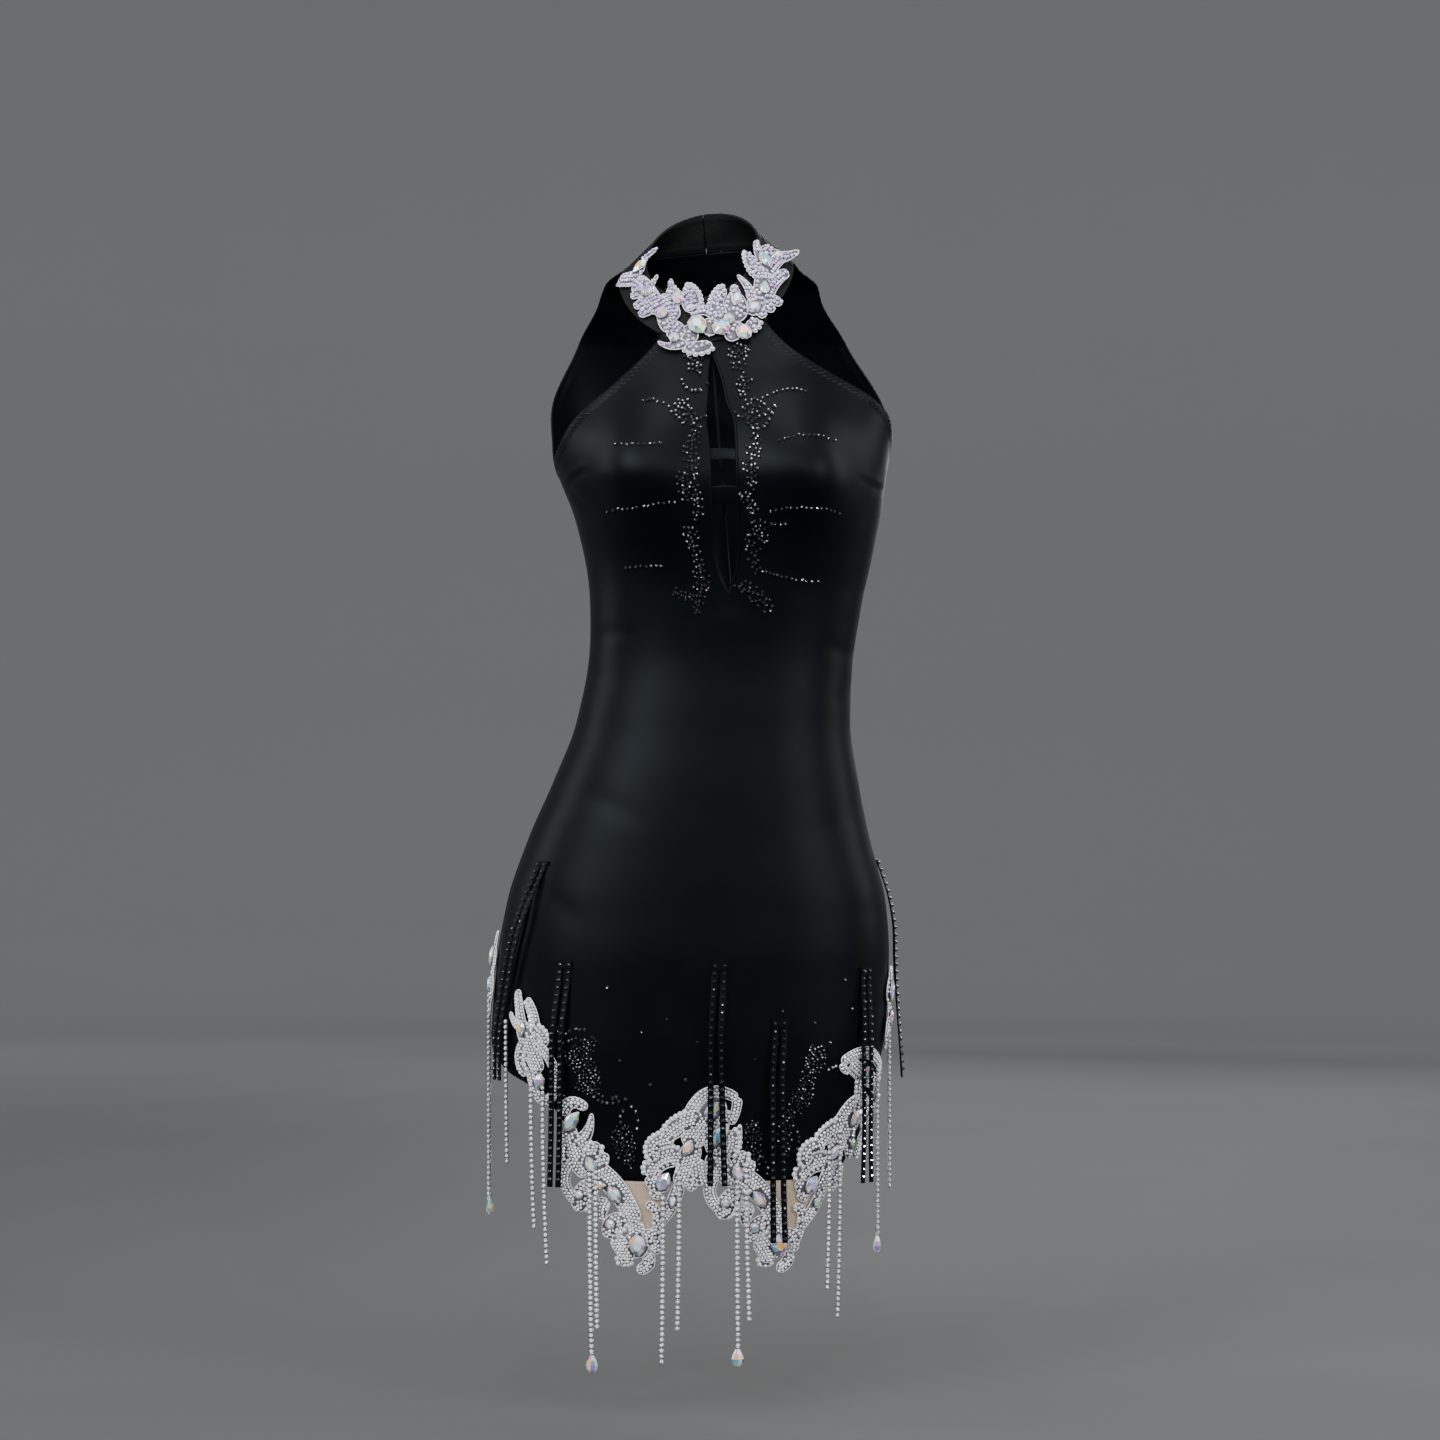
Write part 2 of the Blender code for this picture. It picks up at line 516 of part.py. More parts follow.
def keyhole_cutter(collection):
    """Prism with the pointed outline of the keyhole, through the front wall alone."""
    share = (1 - np.cos(np.linspace(0, math.pi, KEYHOLE_STEPS))) / 2
    height = KEYHOLE[0][0] + (KEYHOLE[-1][0] - KEYHOLE[0][0]) * share
    centre, half = np.moveaxis(read_keyhole(height), -1, 0)
    left = np.column_stack([centre - half, height])
    right = np.column_stack([centre + half, height])[1:-1][::-1]
    outline = bpy.data.curves.new("keyhole_outline", "CURVE")
    outline.dimensions = "2D"
    outline.fill_mode = "BOTH"
    outline.extrude = CUTTER_HALF_DEPTH
    spline = outline.splines.new("POLY")
    corners = np.vstack([left, right])
    spline.points.add(len(corners) - 1)
    for point, (x, z) in zip(spline.points, corners):
        point.co = (x, z, 0, 1)
    spline.use_cyclic_u = True
    drawn = bpy.data.objects.new("keyhole_outline", outline)
    collection.objects.link(drawn)
    drawn.rotation_euler = (math.pi / 2, 0, 0)
    drawn.location = (0, CUTTER_FRONT, 0)
    bpy.context.view_layer.update()
    mesh = bpy.data.meshes.new_from_object(drawn.evaluated_get(bpy.context.evaluated_depsgraph_get()))
    welded = bmesh.new()
    welded.from_mesh(mesh)
    bmesh.ops.remove_doubles(welded, verts=welded.verts, dist=WELD)
    bmesh.ops.recalc_face_normals(welded, faces=welded.faces)
    welded.to_mesh(mesh)
    welded.free()
    cutter = bpy.data.objects.new("keyhole_cutter", mesh)
    cutter.matrix_world = drawn.matrix_world
    collection.objects.link(cutter)
    bpy.data.objects.remove(drawn)
    hide_tool(cutter)
    return cutter


def hide_tool(thing):
    """Mark a cutter or a guide, which isn't part of the dress."""
    thing.hide_render = True
    thing.display_type = "WIRE"


def front_panel(collection, tools):
    """Front of the dress with its keyhole cut through."""
    sheet = panel("front_panel", FRONT_JOIN, FRONT_EDGE_LEFT, FRONT_EDGE_RIGHT,
                  FRONT_ARMHOLE_ROWS, FRONT_COLUMNS, (1, -1), collection)
    cut = sheet.modifiers.new("keyhole", "BOOLEAN")
    cut.operation = "DIFFERENCE"
    cut.object = keyhole_cutter(tools)


def back_panel(collection):
    """Plain back of the dress."""
    panel("back_panel", BACK_JOIN, BACK_EDGE_RIGHT, BACK_EDGE_LEFT,
          BACK_ARMHOLE_ROWS, BACK_COLUMNS, (1, -1), collection)


def neckband(collection):
    """Cone-shaped neckband, open at the centre back."""
    slit = BAND_SLIT / 2 / SLIT_RADIUS
    angle = np.linspace(-math.pi + slit, math.pi - slit, BAND_COLUMNS + 1)[None, :]
    share = np.linspace(1, 0, BAND_ROWS + 1)[:, None]
    grid = on_band(angle, share, -BAND_WALL)
    walled_sheet("neckband", grid, BAND_WALL, BLACK_BAND, collection)


def neckband_tab(collection):
    """Tab that closes the neckband over its slit."""
    half = math.radians(TAB_HALF_ANGLE)
    angle = np.linspace(math.pi - half, math.pi + half, 5)[None, :]
    share = np.linspace(TAB_REACH[1], TAB_REACH[0], 4)[:, None]
    walled_sheet("neckband_tab", on_band(angle, share, TAB_LIFT), TAB_WALL, BLACK_BAND, collection)


def keyhole_straps(collection):
    """Two straps that bridge the keyhole on the inner side of the front."""
    for name, top, bottom, left, right in KEYHOLE_STRAPS:
        angle = np.radians(np.linspace(left, right, 7))[None, :]
        height = np.linspace(top, bottom, 3)[:, None]
        grid = on_dress(angle, height, -(WALL + UNDERLAY + STRAP_WALL))
        walled_sheet(name, grid, STRAP_WALL, BLACK_SATIN, collection)


def plumb_path(angle_top, angle_bottom, top, bottom, lift, ease, flare):
    """Middle line of a ribbon pair and its outward ways: on the cloth, then hanging plumb."""
    height = np.linspace(top, bottom, RIBBON_ROWS)
    height = np.concatenate([[top], [top - RIBBON_BAR], height[1:]])
    share = (top - height) / (top - bottom)
    angle = np.radians(angle_top + (angle_bottom - angle_top) * share)
    eased = np.clip((top - height) / RIBBON_EASE_LENGTH, 0, 1)
    path = on_dress(angle, height, lift + ease * eased * eased * (3 - 2 * eased))
    outward = level_normal(angle, height)
    fullest = int(np.argmax(path @ outward[-1]))
    below = np.arange(len(height)) > fullest
    outward[below] = outward[fullest]
    path[below, :2] = path[fullest, :2]
    path[below] += outward[fullest] * (flare * (height[fullest] - height[below]))[:, None]
    return path, outward


def ribbon_pairs(collection):
    """Pairs of narrow ribbons, each pair hanging from one short bar on the skirt."""
    offsets = (RIBBON_SPACING + RIBBON_WIDTH) / 2, (RIBBON_SPACING - RIBBON_WIDTH) / 2
    across = np.array([-offsets[0], -offsets[1], offsets[1], offsets[0]])
    for name, *hang in RIBBON_PAIRS:
        path, outward = plumb_path(*hang)
        sideways = np.stack([-outward[:, 1], outward[:, 0], 0 * outward[:, 2]], axis=-1)
        grid = path[:, None, :] + across[None, :, None] * sideways[:, None, :]
        walled_sheet(name, grid, RIBBON_WALL, BEADED_BLACK, collection,
                     keep=lambda row, column: row == 0 or column != 1)


def leaf_spine(start, end, bend, shares):
    """Points and sideways directions along a bent leaf in the flat."""
    start, end = np.array(start), np.array(end)
    run = end - start
    middle = (start + end) / 2 + bend * np.array([-run[1], run[0]])
    t = np.array(shares)[:, None]
    points = (1 - t) ** 2 * start + 2 * t * (1 - t) * middle + t * t * end
    way = 2 * (1 - t) * (middle - start) + 2 * t * (end - middle)
    way /= np.linalg.norm(way, axis=1, keepdims=True)
    return points, np.column_stack([-way[:, 1], way[:, 0]])


def leaf_mesh(name, kind, start, end, width, bend, lift, place, collection):
    """One padded leaf, stem or stone, lofted on the surface that place describes."""
    profile = {"leaf": LEAF_PROFILE, "stone": STONE_PROFILE, "stem": STEM_PROFILE}[kind]
    ridge = STONE_RIDGE if kind == "stone" else LEAF_RIDGE
    shares = [share for share, _ in profile] + [1.0]
    spine, sideways = leaf_spine(start, end, bend, shares)
    points = []
    for centre, side, (_, wide) in zip(spine, sideways, profile):
        half = side * width * wide / 2
        crown = LEAF_EDGE + (ridge - LEAF_EDGE) * wide
        points.append(place(centre + half, LEAF_EDGE + lift))
        points.append(place(centre, crown + lift))
        points.append(place(centre - half, LEAF_EDGE + lift))
        points.append(place(centre, LEAF_BASE + lift))
    points.append(place(spine[-1], LEAF_EDGE + lift))
    tip = len(points) - 1
    faces = [(0, 1, 2, 3)]
    for ring in range(len(profile) - 1):
        for corner in range(4):
            after = (corner + 1) % 4
            low, high = ring * 4, ring * 4 + 4
            faces.append((low + corner, high + corner, high + after, low + after))
    last = tip - 4
    faces += [(last + corner, tip, last + (corner + 1) % 4) for corner in range(4)]
    return closed_mesh(name, points, faces, collection)


def closed_mesh(name, points, faces, collection):
    """Closed mesh object with its faces turned outwards."""
    leaf = mesh_object(name, points, faces, SILVER_LEAF, collection)
    turned = bmesh.new()
    turned.from_mesh(leaf.data)
    bmesh.ops.recalc_face_normals(turned, faces=turned.faces)
    turned.to_mesh(leaf.data)
    turned.free()
    return leaf


def joined_leaves(name, leaves, chains, place, look, collection):
    """One closed trim piece from flat leaves and stones and the chains that hang from them."""
    pieces = new_collection(name + "_pieces")
    made = []
    for index, (kind, start, end, width, bend) in enumerate(leaves):
        home = pieces if made else collection
        title = f"{name}_leaf_{index}" if made else name
        lift = LEAF_STAGGER * (index % 5)
        made.append(leaf_mesh(title, kind, start, end, width, bend, lift, place, home))
    for index, (_, degrees, top, bottom, dropped) in enumerate(chains):
        made.append(chain_mesh(f"{name}_chain_{index}", degrees, top, bottom, dropped, pieces))
    for piece in made[1:]:
        hide_tool(piece)
    made[0].data.materials[0] = cloth_material(name, look)
    union = made[0].modifiers.new("pieces", "BOOLEAN")
    union.operation = "UNION"
    union.operand_type = "COLLECTION"
    union.collection = pieces


def chain_mesh(name, degrees, top, bottom, dropped, collection):
    """Stone chain that hangs plumb, with a tear-shaped drop where it has one."""
    root = on_dress(math.radians(degrees), top + CHAIN_ROOT, CHAIN_LIFT)
    outward = level_normal(math.radians(degrees), top)
    side = np.array([-outward[1], outward[0], 0.0])
    levels = [(top + CHAIN_ROOT, CHAIN_WIDTH, CHAIN_DEPTH)]
    if dropped:
        levels += [(bottom + DROP_LENGTH, CHAIN_WIDTH, CHAIN_DEPTH),
                   (bottom + DROP_FULLEST * DROP_LENGTH, DROP_WIDTH, DROP_DEPTH),
                   (bottom, DROP_TIP * DROP_WIDTH, DROP_TIP * DROP_DEPTH)]
    else:
        levels.append((bottom, CHAIN_WIDTH, CHAIN_DEPTH))
    points = []
    for height, width, depth in levels:
        centre = np.array([root[0], root[1], height])
        for across, ahead in ((-1, -1), (1, -1), (1, 1), (-1, 1)):
            points.append(centre + side * across * width / 2 + outward * ahead * depth / 2)
    faces = [(0, 1, 2, 3)]
    for ring in range(len(levels) - 1):
        for corner in range(4):
            after = (corner + 1) % 4
            low, high = ring * 4, ring * 4 + 4
            faces.append((low + corner, high + corner, high + after, low + after))
    last = 4 * (len(levels) - 1)
    faces.append((last, last + 1, last + 2, last + 3))
    return closed_mesh(name, points, faces, collection)


def skirt_arc(level):
    """Angles round the skirt at a height and their distances from the front, in metres."""
    angles = np.radians(np.linspace(-130, 130, 521))
    line = on_dress(angles, np.full_like(angles, level))
    run = np.concatenate([[0], np.cumsum(np.linalg.norm(np.diff(line, axis=0), axis=1))])
    return angles, run - np.interp(0, angles, run)


def flat_arm(leaves, length, start, finish, side):
    """Leaves of one arm or sprig, laid in the flat between its crest and its foot."""
    run = np.array(finish) - np.array(start)
    size = np.linalg.norm(run) / length
    along_way = run / np.linalg.norm(run)
    across_way = np.array([-along_way[1], along_way[0]])
    handed = 1 if across_way[0] * side > 0 else -1
    laid = []
    for kind, along_0, across_0, along_1, across_1, width, bend in leaves:
        root = start + size * (along_0 * along_way + handed * across_0 * across_way)
        tip = start + size * (along_1 * along_way + handed * across_1 * across_way)
        laid.append((kind, root, tip, width * size, bend * handed))
    return laid


def hem_trim(collection):
    """Leaf trim round the hem, with the chains that hang from it."""
    for name in dict.fromkeys(row[0] for row in HEM_TRIM):
        rows = [row[1:] for row in HEM_TRIM if row[0] == name]
        angles, arc = skirt_arc(sum(row[3] + row[5] for row in rows) / (2 * len(rows)))
        laid = []
        for leaves, length, top_deg, top, bottom_deg, bottom, side in rows:
            start = (np.interp(math.radians(top_deg), angles, arc), top)
            finish = (np.interp(math.radians(bottom_deg), angles, arc), bottom)
            laid += flat_arm(leaves, length, start, finish, side)

        seat = TRIM_SEAT.get(name, 0.0)

        def place(point, out, angles=angles, arc=arc, seat=seat):
            return on_dress(np.interp(point[0], arc, angles), point[1], out - seat)

        chains = [chain for chain in CHAINS if chain[0] == name]
        joined_leaves(name, laid, chains, place, SILVER_LEAF, collection)


def hem_nets(collection):
    """Nude net that fills each V of the front hem, below the black edge."""
    for name, left, right, foot, foot_height in HEM_NETS:
        top = HEM_TOP - SEAM
        share = np.linspace(0, 1, NET_ROWS + 1)[:, None]
        across = np.linspace(0, 1, NET_COLUMNS + 1)[None, :]
        narrowed = share * NET_NARROWING
        low = np.radians(left + (foot - left) * narrowed)
        high = np.radians(right + (foot - right) * narrowed)
        angle = low + (high - low) * across
        height = top + (foot_height - top) * share + 0 * across
        walled_sheet(name, on_dress(angle, height, -NET_WALL), NET_WALL, NUDE_NET, collection)


def collar_trim(collection):
    """Leaf trim on the neckband."""
    angles = np.radians(np.linspace(-175, 175, 701))
    line = on_band(angles, np.full_like(angles, 0.5))
    run = np.concatenate([[0], np.cumsum(np.linalg.norm(np.diff(line, axis=0), axis=1))])
    arc = run - np.interp(0, angles, run)
    rise = np.linalg.norm(on_band(angles, 1.0) - on_band(angles, 0.0), axis=1)

    def place(point, out):
        angle = np.interp(point[0], arc, angles)
        share = point[1] / np.interp(angle, angles, rise)
        return on_band(angle, share, out - TRIM_SEAT["collar_leaf_trim"])

    laid = [(kind, (along_0, across_0), (along_1, across_1), width, bend)
            for kind, along_0, across_0, along_1, across_1, width, bend in COLLAR_TRIM]
    joined_leaves("collar_leaf_trim", laid, [], place, OPAL_LEAF, collection)


def main():
    clear_scene()
    dress = new_collection("latin_dance_dress")
    tools = new_collection("cutters")
    front_panel(dress, tools)
    back_panel(dress)
    neckband(dress)
    neckband_tab(dress)
    keyhole_straps(dress)
    ribbon_pairs(dress)
    hem_nets(dress)
    hem_trim(dress)
    collar_trim(dress)


if __name__ == "__main__":
    main()
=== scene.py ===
"""Looks of the latin dance dress: stretch satin, neckband, ribbons, leaf trim, stones and beads.

Metres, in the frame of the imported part: +Z up, the dress faces -Y and the origin is the centre of
the neckband. An angle is measured round the body from the front towards +X.
"""
import math

import bpy
import numpy as np
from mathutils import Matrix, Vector
from mathutils.bvhtree import BVHTree


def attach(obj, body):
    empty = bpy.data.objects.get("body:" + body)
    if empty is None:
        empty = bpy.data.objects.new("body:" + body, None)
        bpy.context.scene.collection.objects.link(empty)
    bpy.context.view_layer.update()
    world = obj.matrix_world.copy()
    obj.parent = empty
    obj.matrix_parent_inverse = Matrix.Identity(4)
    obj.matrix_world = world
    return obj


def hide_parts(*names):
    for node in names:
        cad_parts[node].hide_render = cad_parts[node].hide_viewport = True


bl_info = {
    "name": "Latin dance dress looks",
    "version": (1, 0, 0),
    "blender": (4, 5, 0),
    "location": "3D View > Sidebar > Dress",
    "description": "Builds the cloth, trim, stones and beads of the dress round its packed frame",
    "category": "Object",
}

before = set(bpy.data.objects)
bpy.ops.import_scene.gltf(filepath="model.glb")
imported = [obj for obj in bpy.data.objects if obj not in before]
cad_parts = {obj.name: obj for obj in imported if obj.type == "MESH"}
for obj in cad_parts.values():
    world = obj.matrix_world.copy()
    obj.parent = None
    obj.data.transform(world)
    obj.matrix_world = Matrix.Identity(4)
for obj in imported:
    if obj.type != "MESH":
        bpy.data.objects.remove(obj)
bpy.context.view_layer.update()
MM = 0.001

# Sections of the dress, top to bottom:
# height, centre_x, half_width, front_depth, back_depth, squareness
SECTIONS = [
    (0.040, 0.0030, 0.0520, 0.0400, 0.0520, 2.20),
    (0.020, 0.0030, 0.0840, 0.0440, 0.0620, 2.20),
    (0.008, 0.0040, 0.1240, 0.0500, 0.0690, 2.20),
    (-0.010, 0.0045, 0.1400, 0.0560, 0.0770, 2.20),
    (-0.040, 0.0060, 0.1540, 0.0650, 0.0900, 2.25),
    (-0.080, 0.0080, 0.1540, 0.0800, 0.0980, 2.25),
    (-0.123, 0.0115, 0.1420, 0.0950, 0.1010, 2.25),
    (-0.156, 0.0146, 0.1335, 0.1000, 0.1000, 2.25),
    (-0.189, 0.0184, 0.1246, 0.0950, 0.0960, 2.25),
    (-0.221, 0.0191, 0.1175, 0.0880, 0.0890, 2.25),
    (-0.254, 0.0174, 0.1117, 0.0840, 0.0810, 2.25),
    (-0.303, 0.0131, 0.1082, 0.0810, 0.0750, 2.25),
    (-0.353, 0.0070, 0.1119, 0.0840, 0.0820, 2.30),
    (-0.402, 0.0009, 0.1246, 0.0890, 0.0950, 2.30),
    (-0.451, -0.0049, 0.1402, 0.0930, 0.1100, 2.35),
    (-0.500, -0.0070, 0.1546, 0.0970, 0.1190, 2.40),
    (-0.549, -0.0098, 0.1603, 0.1000, 0.1200, 2.40),
    (-0.600, -0.0130, 0.1612, 0.1000, 0.1140, 2.45),
    (-0.650, -0.0150, 0.1540, 0.0980, 0.1040, 2.50),
    (-0.690, -0.0148, 0.1440, 0.0950, 0.0980, 2.55),
    (-0.730, -0.0155, 0.1365, 0.0920, 0.0930, 2.60),
    (-0.790, -0.0140, 0.1290, 0.0870, 0.0880, 2.60),
]
# Fullness added to the sections: angle_deg, height, rise, angle_spread_deg, height_spread
SWELLS = [
    (-32, -0.156, 0.027, 15, 0.036),
    (32, -0.156, 0.027, 15, 0.036),
    (-150, -0.530, 0.006, 17, 0.050),
    (150, -0.530, 0.006, 17, 0.050),
]
# How far the hips turn towards +X: height, turn_deg
TURN = [(-0.80, 8), (-0.50, 8), (-0.40, 6), (-0.303, 2), (-0.205, 0), (0.05, 0)]
# Lower edge of the black skirt: angle_deg, height
HEM = [
    (-180, -0.722), (-160, -0.716), (-140, -0.698), (-120, -0.662), (-105, -0.630),
    (-90, -0.613), (-82, -0.620), (-72, -0.636), (-64, -0.646), (-58, -0.662), (-50, -0.698),
    (-42, -0.718), (-30, -0.719), (40, -0.719), (55, -0.718), (64, -0.700), (73, -0.680),
    (82, -0.668), (90, -0.660), (105, -0.658), (120, -0.675), (140, -0.700), (160, -0.716),
    (180, -0.722),
]
HEM_TOP = -0.719
# Rings of the neckband: centre_x, half_width, front, back, middle_z, tilt, dish, lean
BAND_BOTTOM = (0.001, 0.0715, 0.067, 0.060, 0.012, 0.0438, 0.0178, 0.006)
BAND_TOP = (-0.002, 0.0460, 0.048, 0.050, 0.031, 0.0400, 0.0025, 0.008)
BAND_HEIGHT = 0.040
# Where the panels leave the neckband, degrees round it
FRONT_JOIN = (-30, 40)
BACK_JOIN = (110, 250)
# Armhole edges from the neckband to the top of the side seam: angle_deg, height
FRONT_EDGE_LEFT = [(-43, -0.072), (-50, -0.090), (-62, -0.114), (-72, -0.132), (-90, -0.150)]
FRONT_EDGE_RIGHT = [(45, -0.056), (54.5, -0.074), (64, -0.089), (74, -0.105), (90, -0.136)]
BACK_EDGE_RIGHT = [
    (119, 0.010), (122, -0.008), (121, -0.034), (113, -0.075), (102, -0.112), (90, -0.136),
]
BACK_EDGE_LEFT = [
    (241, 0.007), (238, -0.008), (239, -0.034), (247, -0.080), (258, -0.124), (270, -0.150),
]
# Keyhole slit down the front, top to bottom: height, centre_x, half_width
KEYHOLE = [
    (-0.057, 0.0085, 0.0), (-0.081, 0.0095, 0.0052), (-0.098, 0.0103, 0.0076),
    (-0.116, 0.0130, 0.0112), (-0.137, 0.0150, 0.0104), (-0.165, 0.0160, 0.0100),
    (-0.195, 0.0172, 0.0098), (-0.220, 0.0179, 0.0090), (-0.238, 0.0186, 0.0055),
    (-0.249, 0.0188, 0.0),
]
# Straps behind the keyhole: name, top, bottom, left_angle_deg, right_angle_deg
KEYHOLE_STRAPS = [
    ("keyhole_strap_upper", -0.137, -0.147, -9.5, 10.5),
    ("keyhole_strap_lower", -0.168, -0.182, -9.5, 10.5),
]
# Share of the front's columns that lie left of the keyhole, the gap that counts as open, and how
# near its two sides are where they are joined
KEYHOLE_SHARE = 0.47
KEYHOLE_OPEN = 0.0003
CENTRE_WELD = 0.0002
# Gaps between the cloth and the neckband and at the side seams, and the radii by which angles
# are turned into distances round the body
SEAM = 0.0004
SIDE_SEAM = 0.00002
SEAM_RADIUS = 0.14
MEAN_RADIUS = 0.11
# First guess of the front's depth, and the tries in which front_angle closes in on an angle
MEAN_FRONT = 0.10
ANGLE_TRIES = 12
# How far below the neckband the cloth takes to run from its ring into the sections
RING_BLEND = 0.055
# Thickness of each cloth, and how far behind the front's outer side a strap lies
CLOTH_WALL = 0.0010
BAND_WALL = 0.0018
STRAP_DEPTH = 0.0026
STRAP_WALL = 0.0009
NET_WALL = 0.0005
# Half the slit at the centre back, in radians, and the tab over it: half its width, its shares of
# the band's height, how far out it lies and its thickness
BAND_SLIT = 0.0055
TAB_HALF_DEG = 17
TAB_SHARES = (0.10, 0.90)
TAB_OUT = 0.0014
TAB_WALL = 0.0012
# Small step by which ways are measured, and the steps of a smoothed line
NORMAL_STEP = 0.002
SMOOTH_STEPS = 600

# Creases as lines on the cloth, a trough where depth is positive and a ridge where it is negative:
# angle_0_deg, height_0, angle_1_deg, height_1, half_width_mm, depth_mm
CREASES = [
    (-86, -0.172, -49, -0.152, 2.2, 0.9), (-84, -0.168, -52, -0.148, 3.6, -0.5),
    (86, -0.166, 52, -0.156, 2.2, 0.7), (84, -0.161, 55, -0.152, 3.6, -0.4),
    (-80, -0.158, -58, -0.204, 7.0, 0.8), (78, -0.150, 60, -0.196, 7.0, 0.7),
    (-88, -0.292, -46, -0.283, 6.0, 0.9), (-86, -0.316, -52, -0.327, 7.0, 0.8),
    (88, -0.300, 50, -0.290, 6.5, 0.8), (86, -0.324, 58, -0.338, 7.0, 0.7),
    (-80, -0.406, -30, -0.438, 9.0, 0.7), (82, -0.412, 34, -0.446, 9.0, 0.6),
    (-84, -0.474, -52, -0.520, 8.0, 0.6), (84, -0.470, 56, -0.514, 8.0, 0.5),
    (-26, -0.566, -34, -0.690, 9.0, 0.6), (30, -0.580, 38, -0.690, 8.0, 0.5),
    (2, -0.600, 0, -0.712, 11.0, 0.5), (-60, -0.560, -66, -0.640, 7.0, 0.6),
    (66, -0.566, 72, -0.650, 7.0, 0.5), (-14, -0.262, 16, -0.266, 8.0, 0.4),
    (150, -0.060, 196, -0.068, 10.0, 0.9), (164, -0.104, 214, -0.096, 9.0, 0.8),
    (108, -0.170, 150, -0.196, 8.0, 0.9), (252, -0.176, 212, -0.204, 8.0, 0.8),
    (104, -0.262, 172, -0.276, 7.0, 1.2), (256, -0.268, 196, -0.288, 7.0, 1.1),
    (120, -0.300, 238, -0.304, 8.0, 1.3), (108, -0.336, 160, -0.326, 7.0, 1.0),
    (250, -0.342, 204, -0.330, 7.0, 0.9), (180, -0.350, 181, -0.470, 9.0, 0.8),
    (128, -0.566, 176, -0.584, 9.0, 0.7), (232, -0.566, 186, -0.586, 9.0, 0.7),
    (150, -0.610, 146, -0.700, 9.0, 0.7), (206, -0.612, 212, -0.690, 9.0, 0.6),
]

# How far a crease bows sideways, as a share of its length
CREASE_BOW = 0.05

# Hanging ribbons, a pair to each: name, angle_top_deg, angle_bottom_deg, top, bottom, lift, ease,
# flare, sway of the left and of the right one at the foot in mm
RIBBON_PAIRS = [
    ("ribbon_pair_front_left", -50.3, -50.3, -0.5445, -0.7236, 0.0003, 0.0045, 0.0, -1.6, -2.2),
    ("ribbon_pair_front_middle", 12.4, 12.4, -0.5445, -0.7210, 0.0004, 0.0045, 0.0, -0.6, 3.4),
    ("ribbon_pair_front_right", 37.6, 37.6, -0.5905, -0.7670, 0.0004, 0.0045, 0.0, 0.8, 2.6),
    ("ribbon_pair_right", 66.8, 66.8, -0.5510, -0.7230, 0.0000, 0.0045, 0.0, -1.8, 0.6),
    ("ribbon_pair_side_left", -65.0, -74.0, -0.4660, -0.6420, 0.0000, 0.0045, 0.0, 0.0, 1.0),
    ("ribbon_pair_side_right", 92.0, 92.0, -0.4670, -0.6450, 0.0004, 0.0035, 0.06, 0.0, 1.0),
]
# Distance between the two of a pair, height of the bar that joins them, the length in which they
# ease away from the cloth, their rows, thickness, curl and bead width
RIBBON_SPACING = 0.0076
RIBBON_BAR = 0.006
RIBBON_EASE_LENGTH = 0.060
RIBBON_ROWS = 64
RIBBON_WALL = 0.0007
RIBBON_CURL = 0.0004
RIBBON_BEAD = 0.0029

# Stone chains: trim, angle_deg, top, bottom, ends in a drop, sway at the foot in mm
CHAINS = [
    ("front", -41.2, -0.710, -0.8720, True, 1.6),
    ("front", -39.0, -0.712, -0.8350, False, 1.2),
    ("front", -10.8, -0.732, -0.8620, False, -1.0),
    ("front", -3.0, -0.712, -0.8355, False, -1.6),
    ("front", 23.6, -0.706, -0.8660, True, 0.8),
    ("front", 27.5, -0.706, -0.8280, False, 2.4),
    ("front", 58.0, -0.694, -0.8060, False, -2.2),
    ("front", 61.5, -0.682, -0.8290, False, -3.0),
    ("left", -68.8, -0.595, -0.7070, False, 2.0),
    ("left", -59.5, -0.644, -0.7570, False, 3.4),
    ("left", -55.5, -0.646, -0.7850, False, 4.0),
    ("side_left", -87.0, -0.578, -0.7480, False, -0.6),
    ("side_left", -84.3, -0.577, -0.7560, True, 3.0),
    ("right", 75.5, -0.635, -0.7840, True, 1.0),
    ("side_right", 81.5, -0.605, -0.7310, False, 0.4),
]
# Rows of a chain's line, its distance from the cloth, and the size of a drop
CHAIN_ROWS = 40
CHAIN_OUT = 0.0036
DROP_LENGTH = 0.017
DROP_HALF_WIDTH = 0.0050
DROP_HALF_DEPTH = 0.0033
# Rings of a drop: share of its length below the hook (negative), share of its full width
DROP_RINGS = [
    (0.00, 0.05), (-0.16, 0.34), (-0.40, 0.78), (-0.62, 1.00), (-0.82, 0.86), (-0.95, 0.50),
    (-1.00, 0.12),
]
# Nude net inside each V of the front hem: name, left_deg, right_deg, foot_deg, foot_height
HEM_NETS = [
    ("hem_net_left", -36.0, -7.5, -22.0, -0.772),
    ("hem_net_right", 30.5, 57.5, 45.6, -0.772),
]
NET_NARROWING = 0.9

